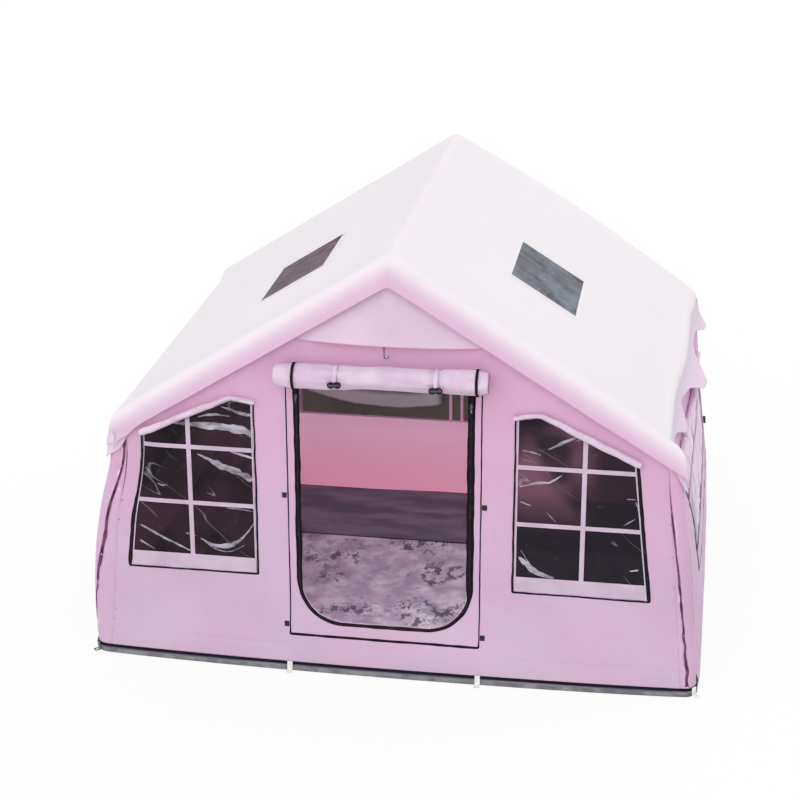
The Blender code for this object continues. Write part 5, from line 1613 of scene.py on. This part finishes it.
valance_look = make_look("valance", paint_valance)
lobe_look = make_look("valance_lobe", paint_lobe)
valance_tip, valance_rise = eave_z - 0.1798, 0.11
edge_plane = 1.1735
skirt_end = edge_plane - 0.002
skirt_y = np.linspace(-skirt_end, skirt_end, 190)
turn = np.arcsin(np.clip((np.abs(skirt_y) - rafter_y) / edge_radius, 0, 1))
skirt_top = roof_radius * (1 - np.cos(turn)) / math.cos(pitch) + 0.0008
lobes = np.array([(0.20, 0.20, 0.105, 0.075), (-0.45, 0.16, 0.095, 0.030), (1.1735, 0.30, 0.110, 0.030)])
reach = np.exp(-((skirt_y[:, None] - lobes[:, 0]) / lobes[:, 1]) ** 2)
hem_z = valance_tip + valance_rise - (reach * lobes[:, 2]).sum(axis=1) - 0.045 * ramp(-skirt_y, 0.85, 1.1)
kick = (reach * lobes[:, 3]).sum(axis=1)


def softened(values, count=9):
    """Running mean of a row of values."""
    return np.convolve(np.pad(values, count // 2, mode="edge"), np.full(count, 1 / count), "valid")


hem_z, kick = softened(softened(hem_z)), softened(softened(kick))
down = np.linspace(0, 1, 16)[:, None]
drop = skirt_top + (eave_z - hem_z - skirt_top) * down
cell = np.stack([np.broadcast_to(skirt_y, drop.shape), drop * 0.4, 0 * drop], -1).reshape(-1, 3)
for side, name in ((-1, "left"), (1, "right")):
    wave = (0.012 * noise(cell, 0.12, 200 + side) + 0.005 * noise(cell, 0.05, 205 + side)).reshape(drop.shape)
    x = profile_end + edge_flare * drop + kick * down ** 2 + wave * down * ramp(1.17 - abs(skirt_y), 0.0, 0.10)
    end_out = 0.06 * np.clip((np.abs(skirt_y) - 1.12) / 0.05, 0, 1) * np.maximum(drop - skirt_top, 0)
    y = skirt_y + np.sign(skirt_y) * end_out
    skirt = np.stack([side * x, y, eave_z - drop], -1)
    faces = grid_faces(*drop.shape)
    faces = faces if side < 0 else faces[:, ::-1]
    made = add_piece("valance_skirt_" + name, skirt.reshape(-1, 3), faces, valance_look,
                     ["valance_" + name])
    skirt_area = float((eave_z - hem_z - skirt_top).mean() * 2 * skirt_end)
    points, faces = tube(skirt[-1], 0.0024, (side, 0, 0), 8)
    add_piece("valance_hem_" + name, points, faces, valance_look)


# Corner lobes: at each corner the valance turns in front of the column and ends in a rounded lobe.
# It hangs softly against the sleeve from under the fascia's corner.
lobe_rows, lobe_columns = 22, 26
lobe_top, lobe_foot = 1.236, 1.052
lobe_turn = 92         # degrees that a lobe reaches round its column
for side, end in product((-1, 1), repeat=2):
    across = np.linspace(0, 1, lobe_columns)
    turn = np.radians(104 - lobe_turn * across)
    rise = 0.125 * np.clip(across - 0.42, 0, 1) ** 1.6 / 0.58 ** 1.6
    foot_z = softened(lobe_foot + rise + 0.035 * np.clip(0.25 - across, 0, 1) / 0.25, 5)
    down = np.linspace(0, 1, lobe_rows)[:, None]
    top_z = lobe_top - 0.020 * across
    z = top_z - (top_z - foot_z) * down
    cell = np.stack([np.broadcast_to(across * 0.10, z.shape), z * 0.5, 0 * z + side + 3 * end], -1).reshape(-1, 3)
    swell = (0.0018 * noise(cell, 0.022, 220) + 0.004 * noise(cell, 0.06, 221)).reshape(z.shape)
    belly = 0.010 * down * (0.4 + 0.6 * np.sin(across * math.pi))
    r = sleeve_radius + 0.008 + belly + swell * (0.3 + 0.7 * down)
    points = np.stack([side * (column_x(z) + r * np.sin(turn)), end * (column_y(z) + r * np.cos(turn)), z], -1)
    name = corner_name(side, end)
    faces = grid_faces(lobe_rows, lobe_columns)
    lobe = add_piece("valance_lobe_" + name, points.reshape(-1, 3), faces if side * end > 0 else faces[:, ::-1],
                     lobe_look)
    lobe_width, lobe_drop = math.radians(lobe_turn) * (sleeve_radius + 0.012), float((z[0] - foot_z).mean())
    "sleeve_" + name
    points, faces = tube(points[-1], 0.0020, (side, end, 0), 8)
    add_piece("valance_lobe_hem_" + name, points, faces, lobe_look)


# Small hard parts, whose solids stay: valve, cap and plunger on the rear right column, zip sliders with
# their pulls, door toggles, and the bent-wire lamp hook. Plastics are moulded, metals are lacquered.
def paint_plastic(dark, light, rough):
    def painter(at):
        drag = at.grain(0.004, 3.0)
        wear = at.grain(0.012, 5.0)
        return {"Base Color": wear.rise(0.45, 0.75).blend(dark, light), "Roughness": rough + 0.15 * drag,
                "height": drag, "depth": 0.0001}
    return painter


def paint_metal(at):
    scratch = at.scaled(1.0, 1.0, 0.1).grain(0.0012, 3.0)
    rub = at.grain(0.006, 4.0)
    return {"Base Color": rub.rise(0.45, 0.7).blend((0.045, 0.042, 0.045), (0.30, 0.29, 0.29)), "Metallic": 0.85,
            "Roughness": 0.28 + 0.2 * scratch, "height": scratch, "depth": 0.00005}


black_plastic = make_look("black_plastic", paint_plastic((0.012, 0.012, 0.013), (0.05, 0.05, 0.052), 0.32))
white_plastic = make_look("white_plastic", paint_plastic((0.62, 0.61, 0.62), (0.75, 0.74, 0.75), 0.35))
dark_metal = make_look("zip_metal", paint_metal)
hard_parts = {"door_toggle_left": black_plastic, "door_toggle_right": black_plastic, "valve_cap": black_plastic,
              "valve_body": white_plastic, "valve_plunger": white_plastic, "zip_slider_left": dark_metal,
              "zip_slider_right": dark_metal, "zip_pull_left": dark_metal, "zip_pull_right": dark_metal,
              "lamp_hook": dark_metal}
for name, look in hard_parts.items():
    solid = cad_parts[name]
    solid.data.materials.clear()
    solid.data.materials.append(look)


bpy.context.view_layer.update()
